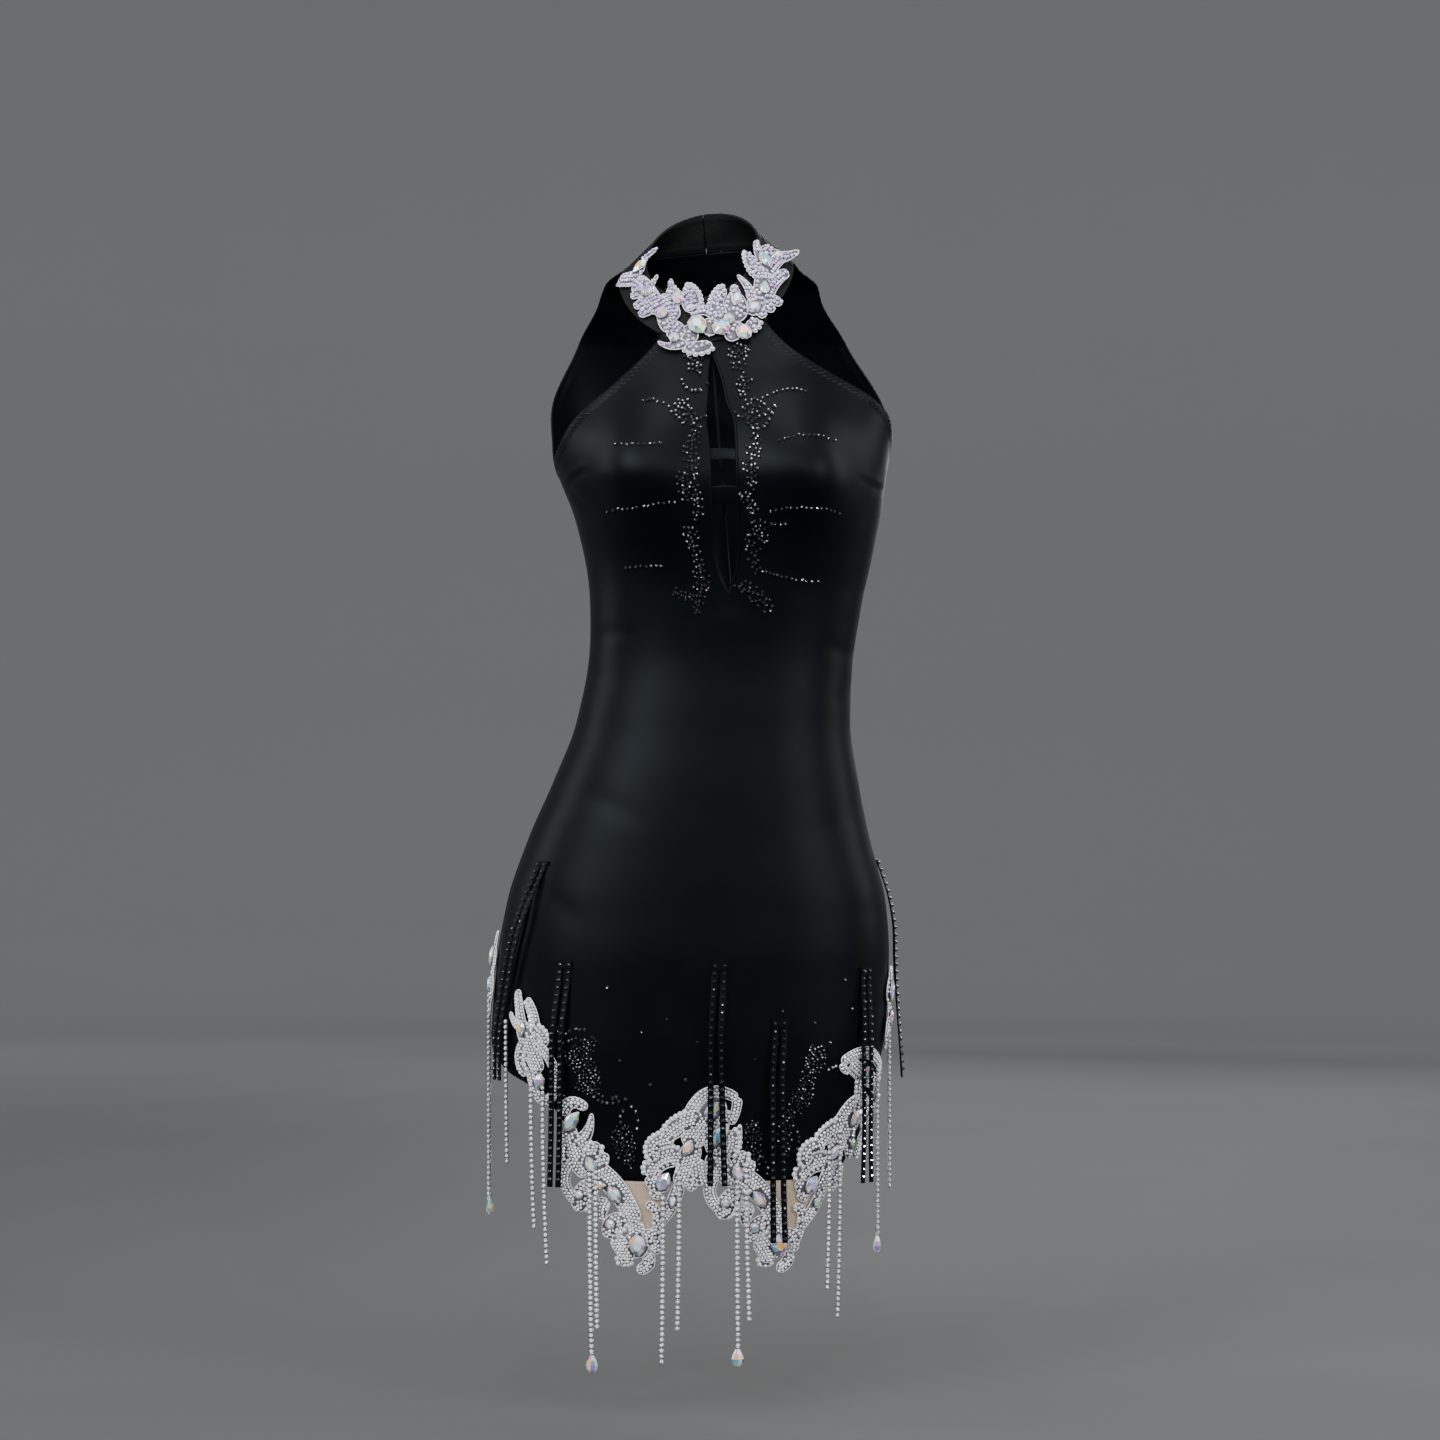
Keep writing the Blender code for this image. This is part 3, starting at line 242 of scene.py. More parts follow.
# Scrolls of the trim, in mm. Along runs down from the crest and across runs to the viewer's left:
# along_0, across_0, along_bend, across_bend, along_1, across_1, width_0, width_1, scallops, rise.
# Scallops is the side with a row of small bumps: 1 left of the way it runs, -1 right, 2 both.
ARM_DOWN = [
    (12, 7, -3, -6, 14, -14, 9, 7, 0, 0), (36, 7, 37, -6, 19, -16, 12, 2, 0, 0),
    (52, 10, 54, -2, 41, -9, 13, 7, 2, 0), (20, 5, 43, 18, 64, 7, 12, 15, 0, 0),
    (58, 4, 78, -14, 114, -12, 17, 13, 0, 0), (49, 17, 59, 38, 80, 28, 9, 8, 0, 0),
    (74, 6, 73, 24, 89, 28, 15, 13, 1, 0), (87, 2, 93, 13, 103, 13, 12, 6, 0, 0),
    (109, -6, 103, 11, 118, 13, 14, 12, 1, 0), (117, 10, 127, 7, 141, 6, 12, 13, 0, 0),
    (139, 4, 136, 9, 142, 14, 12, 10, 2, 0), (124, -14, 131, -26, 143, -16, 10, 8, 0, 0),
    (140, -10, 152, -12, 150, 4, 10, 8, 0, 0), (61, -2, 60, -9, 52, -12, 8, 6, 0, 0),
    (33, 14, 37, 20, 49, 23, 9, 8, 0, 0), (112, -12, 119, -11, 126, -8, 12, 12, 0, 0),
    (120, -6, 130, -4, 141, -5, 19, 19, 0, 0),
]
ARM_UP = [
    (28, 3, -10, 4, -2, -25, 11, 7, 0, 0), (-3, -25, 8, -29, 18, -28, 7, 5, 0, 0),
    (2, -15, 22, -7, 46, -4, 19, 18, 0, 0), (22, -8, 28, 8, 45, 14, 17, 10, -1, 0),
    (43, 8, 52, 29, 64, 15, 10, 8, -1, 0), (55, -2, 60, 17, 78, 15, 15, 12, -1, 0),
    (77, 16, 87, 9, 78, 0, 10, 10, 0, 0), (41, -6, 58, -10, 77, -8, 16, 12, 0, 0),
    (24, -13, 35, -18, 45, -26, 13, 9, 0, 0), (23, -29, 29, -37, 42, -35, 8, 8, 1, 0),
    (75, -8, 94, -11, 115, -1, 10, 8, 0, 0), (113, -2, 97, -1, 99, 11, 8, 6, 0, 0),
    (37, 12, 33, 16, 29, 10, 7, 6, 0, 0), (64, -13, 66, -21, 77, -16, 9, 7, 0, 0),
    (52, -15, 62, -19, 70, -26, 10, 7, -1, 0), (88, 2, 91, 6, 88, 11, 7, 5, 0, 0),
    (113, -2, 122, -4, 130, 0, 8, 7, 0, 0),
]
SPRIG_LONG = [
    (1, 2, 12, 4, 32, 3, 6, 9, 0, 0), (10, -6, 24, -13, 42, -8, 5, 7, -1, 0),
    (26, 3, 50, 0, 68, -3, 13, 13, 0, 0), (42, 5, 56, 20, 66, 10, 8, 6, 1, 0),
    (44, -6, 66, -24, 86, -10, 7, 7, 0, 0), (64, 6, 98, 12, 86, -10, 7, 7, 0, 0),
    (30, 6, 24, 12, 16, 13, 6, 3, 0, 0), (34, -6, 40, -16, 50, -14, 7, 6, 2, 0),
]
SPRIG_SIDE = [
    (0, 0, 20, 5, 44, 0, 6, 12, 0, 0), (14, 3, 24, 16, 38, 9, 8, 7, 0, 0),
    (40, 0, 62, -5, 90, 2, 12, 5, 0, 0), (48, -2, 60, -16, 74, -9, 8, 5, -1, 0),
    (56, 4, 70, 14, 82, 7, 7, 5, 1, 0), (20, -2, 28, -12, 38, -9, 7, 4, 0, 0),
]
SPRIG_HEAD = [
    (2, 8, 20, -30, 88, -8, 8, 9, 0, 0), (84, -8, 100, 8, 90, 38, 8, 6, 0, 0),
    (12, 4, 36, 10, 62, 2, 12, 12, 0, 0), (34, 8, 46, 26, 52, 44, 10, 5, -1, 0),
    (2, 8, 6, 14, 14, 12, 6, 4, 0, 0), (58, 2, 70, 10, 72, 24, 9, 6, 0, 0),
]
# Set stones of the trim, in mm: along, across, length, width, turn_deg, cut
ARM_DOWN_STONES = [
    (19, 2, 21, 10, -117, "marquise"), (57, 2, 13, 9, -7, "marquise"),
    (86, -6, 15, 9, -12, "marquise"), (131, -6, 17, 13, 20, "kite"),
    (75, 1, 8, 6, -70, "drop"), (76, 22, 6, 6, 65, "round"), (107, 8, 7, 7, 0, "round"),
]
ARM_UP_STONES = [
    (13, -11, 17, 10, -164, "marquise"), (46, -4, 13, 8, -174, "marquise"),
    (77, 4, 15, 10, -174, "kite"), (90, -8, 8, 6, -10, "drop"), (34, -21, 9, 6, -30, "drop"),
]
SPRIG_LONG_STONES = [(31, 3, 13, 8, 6, "marquise"), (74, -1, 12, 9, 40, "kite")]
SPRIG_SIDE_STONES = [(27, 6, 17, 10, 8, "marquise"), (56, -2, 13, 8, -6, "marquise")]
SPRIG_HEAD_STONES = [(38, 4, 15, 10, 88, "marquise"), (88, 8, 9, 7, 0, "round")]
# Arms and sprigs round the hem: trim, scrolls, stones, length_mm, top_deg, top, bottom_deg, bottom
HEM_TRIM = [
    ("front", ARM_DOWN, ARM_DOWN_STONES, 143, -49.0, -0.654, -24.2, -0.783),
    ("front", ARM_UP, ARM_UP_STONES, 143, 8.5, -0.646, -21.5, -0.783),
    ("front", ARM_DOWN, ARM_DOWN_STONES, 143, 12.5, -0.664, 42.0, -0.783),
    ("front", ARM_UP, ARM_UP_STONES, 143, 65.5, -0.656, 45.0, -0.783),
    ("left", SPRIG_LONG, SPRIG_LONG_STONES, 90, -65.0, -0.5675, -55.0, -0.657),
    ("side_left", SPRIG_SIDE, SPRIG_SIDE_STONES, 90, -86.5, -0.525, -84.5, -0.594),
    ("right", SPRIG_HEAD, SPRIG_HEAD_STONES, 90, 60.0, -0.620, 84.0, -0.653),
    ("side_right", SPRIG_SIDE, SPRIG_SIDE_STONES, 90, 84.0, -0.553, 82.5, -0.620),
]
# Scrolls and stones on the neckband, in mm. Along runs round it from the front centre towards +X
# and across runs up from its lower edge. The columns are those of the arms.
COLLAR = [
    (-108, 40, -114, 24, -88, 20, 5, 13, 0, 0), (-86, 21, -96, 12, -104, 2, 13, 10, 1, 0),
    (-72, 22, -58, 26, -66, 38, 8, 4, 0, 0), (-84, 16, -61, 25, -35, 18, 15, 17, 0, 0),
    (-64, 18, -70, 14, -72, 7, 9, 6, 0, 0), (-55, 16, -61, 11, -62, 4, 9, 6, 0, 0),
    (-46, 14, -52, 9, -53, 2, 9, 6, 0, 0), (-45, 24, -33, 27, -22, 17, 19, 18, 0, 0),
    (-37, 33, -32, 42, -42, 47, 10, 4, 0, 0), (-15, 27, -4, 43, -20, 47, 17, 13, -1, 0),
    (-23, 29, -31, 36, -27, 45, 13, 9, 1, 0), (-35, 18, -33, 9, -27, 3, 12, 5, 0, 0),
    (-17, 14, -24, 6, -20, -2, 13, 11, 1, 0), (-14, -1, -22, -13, -31, -9, 10, 2, 0, 0),
    (-13, -6, -6, -9, 3, -3, 10, 9, -1, 0), (-13, 14, -10, 7, -12, -2, 13, 10, 0, 0),
    (-11, 26, 6, 35, 10, 17, 8, 8, 0, 0), (2, 20, 5, 11, 3, 4, 9, 8, 0, 0),
    (14, 16, 8, 40, 25, 40, 12, 10, 1, 0), (23, 33, 34, 21, 22, 10, 18, 18, 0, 0),
    (44, 17, 51, 28, 45, 43, 11, 3, 0, 0), (22, 10, 17, 3, 21, -6, 13, 10, 1, 0),
    (32, 4, 34, -3, 39, 2, 11, 9, -1, 0), (36, 15, 44, 11, 53, 10, 15, 14, 0, 0),
    (43, 10, 46, 5, 45, -2, 8, 6, 0, 0), (50, 8, 55, 4, 54, -3, 8, 6, 0, 0),
    (58, 7, 63, 3, 63, -4, 8, 6, 0, 0), (54, 9, 70, 18, 92, 6, 13, 7, 0, 2),
    (50, 12, 60, 23, 77, 25, 14, 14, 0, 0), (68, 28, 62, 40, 78, 44, 10, 9, 1, 0),
    (76, 30, 78, 38, 74, 44, 9, 7, 0, 0), (78, 26, 92, 40, 104, 38, 13, 5, 0, 0),
    (76, 23, 94, 24, 110, 14, 15, 12, 0, 2), (104, 16, 112, 10, 118, 2, 11, 4, 0, 9),
    (92, 30, 102, 26, 110, 24, 14, 9, 0, 0), (28, 25, 35, 31, 33, 40, 10, 8, 0, 0),
]
COLLAR_STONES = [
    (-5, 14, 18, 14, -63, "kite"), (12, 9, 16, 13, 31, "kite"), (-97, 24, 16, 9, 110, "marquise"),
    (-61, 22, 11, 9, 4, "round"), (-24, 37, 13, 9, -73, "marquise"), (86, 28, 18, 11, 60, "marquise"),
    (41, 11, 14, 9, -6, "marquise"), (31, 27, 13, 8, 39, "marquise"), (26, -3, 14, 12, -90, "round"),
    (61, 17, 13, 8, 30, "drop"), (19, 14, 9, 7, -75, "round"), (-36, 16, 11, 9, -27, "round"),
    (-21, -1, 8, 7, -52, "round"), (104, 18, 11, 8, -40, "kite"), (-10, 30, 8, 6, 20, "drop"),
]

# Bead rows on the front, in mm as seen from the front, from the neckband's centre:
# x_0, z_0, x_bend, z_bend, x_1, z_1, beads, bead_size
BEAD_ROWS = [
    (-49, -98.5, -42, -95, -28, -104.5, 7, 2.6), (-70, -134, -52, -136, -35, -134, 9, 2.8),
    (-77, -186, -50, -184, -24, -180, 14, 2.5), (-63, -231, -48, -229, -35, -229.5, 8, 2.6),
    (80, -90.6, 62, -85, 37, -102, 12, 2.7), (103, -131, 80, -123, 59, -132, 12, 2.6),
    (107, -187.5, 82, -182, 52, -187, 15, 2.6), (90.6, -241.5, 62, -241, 45.7, -233, 13, 2.8),
    (-18, -82, -12, -98, 2, -85, 9, 3.4), (-28, -106, -16, -124, 4, -109, 12, 3.2),
    (-28, -104, -14, -98, -8, -110, 7, 3.2), (-8, -118, 0, -112, 5, -109, 5, 3.0),
    (34, -118, 46, -130, 53, -110, 9, 3.4), (24, -109, 38, -122, 55, -104, 10, 3.2),
    (44, -194, 54, -199, 64, -197, 6, 3.0), (33, -217, 46, -222, 38, -231, 6, 3.2),
    (20, -244, 38, -250, 52, -257, 10, 3.2), (52, -257, 56, -264, 48, -267, 4, 3.2),
    (-110, -602, -104, -597, -96, -599, 6, 3.2), (-112, -610, -102, -604, -92, -608, 7, 2.6),
    (-90, -649, -82, -662, -63, -654, 8, 3.6), (-78, -657, -70, -646, -54, -664, 8, 3.6),
    (-64, -656, -52, -660, -53, -676, 6, 3.6), (-65, -663, -70, -672, -62, -682, 5, 3.4),
    (99, -632, 105, -626, 111, -633, 5, 3.4), (84, -616, 90, -612, 94, -622, 4, 2.8),
    (32, -685, 34, -672, 43, -674, 6, 3.2), (47, -700, 52, -706, 50, -714, 4, 3.0),
    (70, -676, 78, -684, 74, -694, 5, 3.0),
]
# Bead leaves, each a spine with barbs on both sides, in mm seen from the front:
# x_0, z_0, x_bend, z_bend, x_1, z_1, spread, barbs, bead_size
BEAD_LEAVES = [
    (-5, -54, -12, -64, -3, -78, 8, 5, 3.2), (29, -53, 24, -64, 32, -77, 8, 5, 3.2),
    (30, -80, 34, -88, 28, -96, 6, 3, 3.2), (-18, -100, -20, -110, -10, -120, 8, 4, 3.2),
    (42, -99, 34, -108, 42, -120, 8, 5, 3.2), (-6, -120, -14, -140, -8, -164, 6, 7, 3.0),
    (42, -128, 34, -146, 39, -172, 6, 8, 3.0), (-16, -158, -20, -170, -12, -180, 6, 4, 2.8),
    (-12, -166, 0, -178, -8, -196, 5, 5, 3.0), (28, -174, 38, -180, 40, -192, 5, 5, 3.0),
    (-12, -200, -10, -214, -5, -226, 6, 4, 3.0), (-5, -226, 2, -246, -8, -270, 6, 7, 3.0),
    (38, -196, 50, -206, 46, -214, 5, 4, 2.8), (34, -206, 42, -222, 40, -238, 5, 4, 3.0),
    (-24, -250, -16, -256, -8, -254, 4, 3, 2.6), (30, -244, 42, -254, 50, -262, 6, 4, 3.2),
    (-106, -616, -98, -626, -82, -642, 9, 8, 2.4), (-100, -640, -92, -644, -80, -652, 6, 5, 2.4),
    (-66, -676, -64, -692, -58, -710, 9, 8, 2.4), (90, -614, 88, -628, 78, -644, 8, 7, 2.4),
    (82, -640, 78, -656, 66, -670, 8, 7, 2.4), (40, -672, 36, -690, 42, -712, 7, 7, 2.4),
    (66, -668, 62, -684, 66, -702, 6, 5, 2.4), (-88, -606, -96, -618, -108, -630, 6, 5, 2.2),
]
# Single beads: x_mm, z_mm, bead_size
LONE_BEADS = [
    (-77, -565, 3.2), (-67, -623, 3.2), (-43, -642, 3.2), (-15, -638, 3.4), (-36, -680, 2.8),
    (-20, -668, 2.4), (14, -580, 2.2), (-30, -590, 2.4), (58, -610, 2.4), (112, -560, 2.4),
    (118, -584, 2.6), (40, -622, 2.2), (-6, -608, 2.2), (88, -594, 2.4), (-112, -652, 2.8),
    (-117, -601, 2.8), (20, -650, 2.2), (-50, -600, 2.2), (100, -610, 2.2), (62, -584, 2.2),
]


def monotone_slopes(x, y):
    """Slopes that let a cubic pass through the rows of a table with no overshoot."""
    rise = np.diff(y, axis=0) / np.diff(x)[:, None]
    product = rise[:-1] * rise[1:]
    total = np.where(product > 0, rise[:-1] + rise[1:], 1.0)
    inner = np.where(product > 0, 2 * product / total, 0.0)
    return np.vstack([rise[:1], inner, rise[-1:]])


def table_reader(rows):
    """Function that reads a table of rows (x, values...) smoothly at any x."""
    table = np.array(rows, dtype=float)
    table = table[np.argsort(table[:, 0])]
    x, y = table[:, 0], table[:, 1:]
    slopes = monotone_slopes(x, y)

    def read(at):
        at = np.clip(np.asarray(at, dtype=float), x[0], x[-1])
        low = np.clip(np.searchsorted(x, at) - 1, 0, len(x) - 2)
        width = (x[low + 1] - x[low])[..., None]
        t = (at - x[low])[..., None] / width
        start = y[low] * (1 + 2 * t) * (1 - t) ** 2 + slopes[low] * width * t * (1 - t) ** 2
        end = y[low + 1] * t * t * (3 - 2 * t) - slopes[low + 1] * width * t * t * (1 - t)
        return start + end

    return read


read_section = table_reader(SECTIONS)
read_turn = table_reader(TURN)
read_hem = table_reader(HEM)
read_keyhole = table_reader(KEYHOLE)


def turn_at(height):
    """Turn of the hips at a height, in radians."""
    return np.radians(read_turn(height)[..., 0])


def wrapped(angle):
    """Angle brought between minus and plus half a turn."""
    return (angle + math.pi) % (2 * math.pi) - math.pi


def unit(ways):
    """Directions with a length of one."""
    return ways / np.maximum(np.linalg.norm(ways, axis=-1, keepdims=True), 1e-12)


def body_point(angle, height):
    """Point on the outside of the cloth at an angle and a height."""
    centre, half, front, back, power = np.moveaxis(read_section(height), -1, 0)
    side, ahead = np.sin(angle), np.cos(angle)
    depth = np.where(ahead > 0, front, back)
    radius = (np.abs(side / half) ** power + np.abs(ahead / depth) ** power) ** (-1 / power)
    for swell_deg, swell_height, rise, spread_deg, height_spread in SWELLS:
        off = wrapped(angle - math.radians(swell_deg)) / math.radians(spread_deg)
        level = (height - swell_height) / height_spread
        radius = radius + rise * np.exp(-0.5 * (off ** 2 + level ** 2))
    return np.stack([centre + radius * side, -radius * ahead, height + 0 * angle], axis=-1)


def on_dress(angle, height, out=0.0):
    """Point that lies a distance out from the dress, along its outward normal."""
    angle, height = np.broadcast_arrays(np.asarray(angle, float), np.asarray(height, float))
    point = body_point(angle, height)
    round_it = body_point(angle + NORMAL_STEP, height) - point
    down_it = body_point(angle, height - NORMAL_STEP) - point
    return point + unit(np.cross(down_it, round_it)) * np.asarray(out)[..., None]


def level_normal(angle, height):
    """Outward way of the cloth at a point, laid level."""
    outward = on_dress(angle, height, NORMAL_STEP) - on_dress(angle, height)
    outward[..., 2] = 0.0
    return unit(outward)


def ring_point(ring, angle):
    """Point on one ring of the neckband."""
    centre, half, front, back, middle, tilt, dish, lean = ring
    side, ahead = np.sin(angle), np.cos(angle)
    depth = np.where(ahead > 0, front, back)
    height = middle - tilt * ahead - dish * ahead ** 2 + lean * side
    return np.stack([centre + half * side, -depth * ahead, height], axis=-1)


def on_band(angle, share, out=0.0):
    """Point on the neckband, from share 0 at its foot to 1 at its top, moved outwards."""
    angle, share = np.broadcast_arrays(np.asarray(angle, float), np.asarray(share, float))

    def plain(a, s):
        low, high = ring_point(BAND_BOTTOM, a), ring_point(BAND_TOP, a)
        return low + (high - low) * s[..., None]

    point = plain(angle, share)
    down_it = plain(angle, share - NORMAL_STEP) - point
    normal = unit(np.cross(down_it, plain(angle + NORMAL_STEP, share) - point))
    return point + normal * np.asarray(out)[..., None]


def front_angle(x, height):
    """Angle at which the front of the dress has a given x at a height."""
    angle = np.arctan2(x - read_section(height)[..., 0], MEAN_FRONT)
    for _ in range(ANGLE_TRIES):
        here = body_point(angle, height)[..., 0]
        slope = (body_point(angle + NORMAL_STEP, height)[..., 0] - here) / NORMAL_STEP
        angle = angle + np.clip((x - here) / np.maximum(slope, 0.01), -0.2, 0.2)
    return angle


def travel_of(line):
    """Distance along a line at each of its points."""
    return np.concatenate([[0], np.cumsum(np.linalg.norm(np.diff(line, axis=0), axis=1))])


def read_along(rows, travel, want):
    """Rows of values read at wanted distances, where travel is the distance of each row."""
    return np.stack([np.interp(want, travel, rows[:, k]) for k in range(rows.shape[1])], axis=-1)


def spread(points, count):
    """Count points at equal steps along a smooth line through the given points."""
    line = np.array(points, dtype=float)
    run = travel_of(line)
    path = table_reader(np.column_stack([run, line]))(np.linspace(0, run[-1], SMOOTH_STEPS))
    travel = travel_of(path)
    return read_along(path, travel, np.linspace(0, travel[-1], count))


def bend_line(start, bend, end, count):
    """Points along one even bend from start to end."""
    t = np.linspace(0, 1, count)[:, None]
    start, bend, end = np.array(start, float), np.array(bend, float), np.array(end, float)
    return (1 - t) ** 2 * start + 2 * t * (1 - t) * bend + t * t * end


# Shader building


class Value:
    """A shader socket that takes part in Python sums."""

    def __init__(self, shader, socket):
        self.shader = shader
        self.socket = socket

    def maths(self, operation, *values):
        """Result of one sum of the Math node."""
        return self.shader.node("ShaderNodeMath", {"operation": operation}, dict(enumerate(values)))

    def __add__(self, other):
        return self.maths("ADD", self, other)

    def __mul__(self, other):
        return self.maths("MULTIPLY", self, other)

    def __sub__(self, other):
        return self.maths("SUBTRACT", self, other)

    def __rsub__(self, other):
        return self.maths("SUBTRACT", other, self)

    def __pow__(self, other):
        return self.maths("POWER", self, other)

    __radd__ = __add__
    __rmul__ = __mul__

    def sine(self):
        """Wave of the value, between minus one and one."""
        return self.maths("SINE", self)

    def above(self, level):
        """One where the value is over a level, else nought."""
        return self.maths("GREATER_THAN", self, level)

    def larger(self, other):
        """The larger of two values."""
        return self.maths("MAXIMUM", self, other)


class Shader:
    """One material and the nodes that it is made of."""

    def __init__(self, name):
        self.material = bpy.data.materials.new(name)
        self.material.use_nodes = True
        self.tree = self.material.node_tree
        self.surface = self.tree.nodes["Principled BSDF"]

    def node(self, kind, settings=None, values=None, out=0):
        """Any node with its settings and inputs, as the value of one of its outputs."""
        made = self.tree.nodes.new(kind)
        for key, setting in (settings or {}).items():
            if key == "stops":
                self.stops(made.color_ramp, setting)
            else:
                setattr(made, key, setting)
        for key, value in (values or {}).items():
            self.join(made.inputs[key], value)
        return Value(self, made.outputs[out])

    def stops(self, ramp, rows):
        """Give a colour ramp its rows of place and colour."""
        while len(ramp.elements) < len(rows):
            ramp.elements.new(1.0)
        for element, (place, colour) in zip(ramp.elements, rows):
            element.position = place
            element.color = (*colour, 1.0)

    def join(self, socket, value):
        """Link a value to an input, or set the input to a plain one."""
        if isinstance(value, Value):
            self.tree.links.new(value.socket, socket)
        else:
            socket.default_value = value

    def place(self):
        """Point of the surface, in the part's own metres."""
        return self.node("ShaderNodeTexCoord", out="Object")

    def axes(self):
        """The three coordinates of the point, each as a value."""
        place = self.node("ShaderNodeSeparateXYZ", values={0: self.place()})
        outputs = place.socket.node.outputs
        return [Value(self, outputs[k]) for k in range(3)]

    def noise(self, scale, detail=2.0):
        """Cloudy grain with this many clouds to a metre."""
        values = {"Vector": self.place(), "Scale": scale, "Detail": detail}
        return self.node("ShaderNodeTexNoise", values=values)

    def mix(self, factor, first, second):
        """Blend from the first colour to the second."""
        return self.node("ShaderNodeMix", {"data_type": "RGBA"}, {0: factor, 6: first, 7: second}, 2)

    def ramp(self, factor, rows):
        """Colour read from rows of place and colour."""
        return self.node("ShaderNodeValToRGB", {"stops": rows}, {0: factor})

    def bump(self, height, strength, distance):
        """Normal of a surface with a fine relief."""
        values = {"Height": height, "Strength": strength, "Distance": distance}
        return self.node("ShaderNodeBump", values=values)

    def finish(self, **values):
        """Set the inputs of the surface and hand over the material."""
        for key, value in values.items():
            self.join(self.surface.inputs[key.replace("_", " ")], value)
        return self.material


def rgba(colour, share=1.0):
    """Colour with full opacity, made darker or lighter by a share."""
    return (*(min(tint * share, 1.0) for tint in tuple(colour)[:3]), 1.0)


def satin_finish(name, colour, roughness):
    """Black stretch satin: a fine weave, soft sheen and slight unevenness."""
    shader = Shader(name)
    across, _, up = shader.axes()
    weave = (across * 5200.0).sine() * (up * 5200.0).sine()
    cloudy = shader.noise(26.0, 3.0)
    fine = shader.noise(2600.0, 2.0)
    base = shader.mix(cloudy, rgba(colour, 0.72), rgba(colour, 1.5))
    rough = cloudy * 0.10 + fine * 0.06 + (roughness - 0.08)
    normal = shader.bump(weave * 0.4 + fine, 0.18, 0.00012)
    return shader.finish(Base_Color=base, Roughness=rough, Normal=normal, Sheen_Weight=0.01,
                         Sheen_Roughness=0.45, Specular_IOR_Level=0.085,
                         Specular_Tint=(0.76, 0.89, 1.0, 1.0))


def knit_finish(name, colour):
    """Matt black elastic knit with fine ribs."""
    shader = Shader(name)
    across, _, up = shader.axes()
    ribs = (up * 3600.0 + across * 900.0).sine() * 0.5 + 0.5
    speck = shader.noise(1800.0, 3.0)
    base = shader.mix(ribs * 0.5 + speck * 0.5, rgba(colour, 0.55), rgba(colour, 1.5))
    normal = shader.bump(ribs + speck * 0.6, 0.35, 0.00025)
    return shader.finish(Base_Color=base, Roughness=speck * 0.2 + 0.55, Normal=normal,
                         Specular_IOR_Level=0.16)


def thread_finish(name, colour, shine):
    """Twisted embroidery thread."""
    shader = Shader(name)
    across, ahead, up = shader.axes()
    twist = ((across + ahead) * 3800.0 + up * 5200.0).sine() * 0.5 + 0.5
    grain = shader.noise(900.0, 3.0)
    base = shader.mix(twist * 0.45 + grain * 0.55, rgba(colour, 0.68), rgba(colour))
    normal = shader.bump(twist + grain, 0.4, 0.00025)
    return shader.finish(Base_Color=base, Roughness=grain * 0.2 + (0.46 - 0.25 * shine),
                         Normal=normal, Metallic=shine)


def stone_finish(name, stops, roughness, metal):
    """Cut stone whose facets take colours from the stops: coating tints, painted glints and painted dark
    reflections.
    """
    shader = Shader(name)
    facet = shader.node("ShaderNodeAttribute", {"attribute_name": "facet"}, out="Fac")
    base = shader.ramp(facet, stops)
    glint = (facet * 97.0).sine() * 0.5 + 0.5
    return shader.finish(Base_Color=base, Roughness=glint * 0.10 + roughness, Metallic=metal,
                         Coat_Weight=1.0, Coat_Roughness=0.02, Specular_IOR_Level=0.9)


def net_finish(name, colour):
    """Fine net whose holes are clear."""
    shader = Shader(name)
    across, _, up = shader.axes()
    one, other = ((slant * 3300.0).sine().above(0.62) for slant in (across + up, across - up))
    mesh = one.larger(other)
    tint = shader.mix(shader.noise(60.0), rgba(colour, 0.86), rgba(colour))
    shader.material.surface_render_method = "DITHERED"
    return shader.finish(Base_Color=tint, Roughness=0.75, Alpha=mesh * 0.62 + 0.30)


# Studio floor: its height, how far it runs level, the radius of its curve up to the wall, the top of
# the wall and the number of sides of its round plan
FLOOR_LEVEL = -0.905
FLOOR_REACH = 3.6
FLOOR_CURVE = 1.6
WALL_TOP = 3.4
FLOOR_SIDES = 96
# Share of the floor colour at each share of the way out from the middle to the wall
FLOOR_TONES = [
    (0.00, 0.120), (0.10, 0.138), (0.18, 0.149), (0.27, 0.165), (0.32, 0.184), (0.38, 0.210),
    (0.455, 0.290), (0.54, 0.470), (0.58, 0.590), (0.64, 0.770), (0.73, 0.815), (0.77, 0.788),
    (0.82, 0.748), (0.86, 0.732), (0.93, 0.712), (0.98, 0.722), (0.996, 0.758), (1.00, 0.785),
]


def floor_finish(name, colour):
    """Matt grey studio floor and wall, painted darker in the middle, where the lamps are near."""
    shader = Shader(name)
    grain = shader.noise(3.0, 4.0)
    across, ahead, _ = shader.axes()
    away = (across * across + ahead * ahead) ** 0.5 * (1 / (FLOOR_REACH + FLOOR_CURVE))
    tone = shader.ramp(away, [(at, (share,) * 3) for at, share in FLOOR_TONES])
    tint = shader.mix(tone + grain * 0.01, (0.0, 0.0, 0.0, 1.0), rgba(colour))
    return shader.finish(Base_Color=tint, Roughness=grain * 0.1 + 0.8)
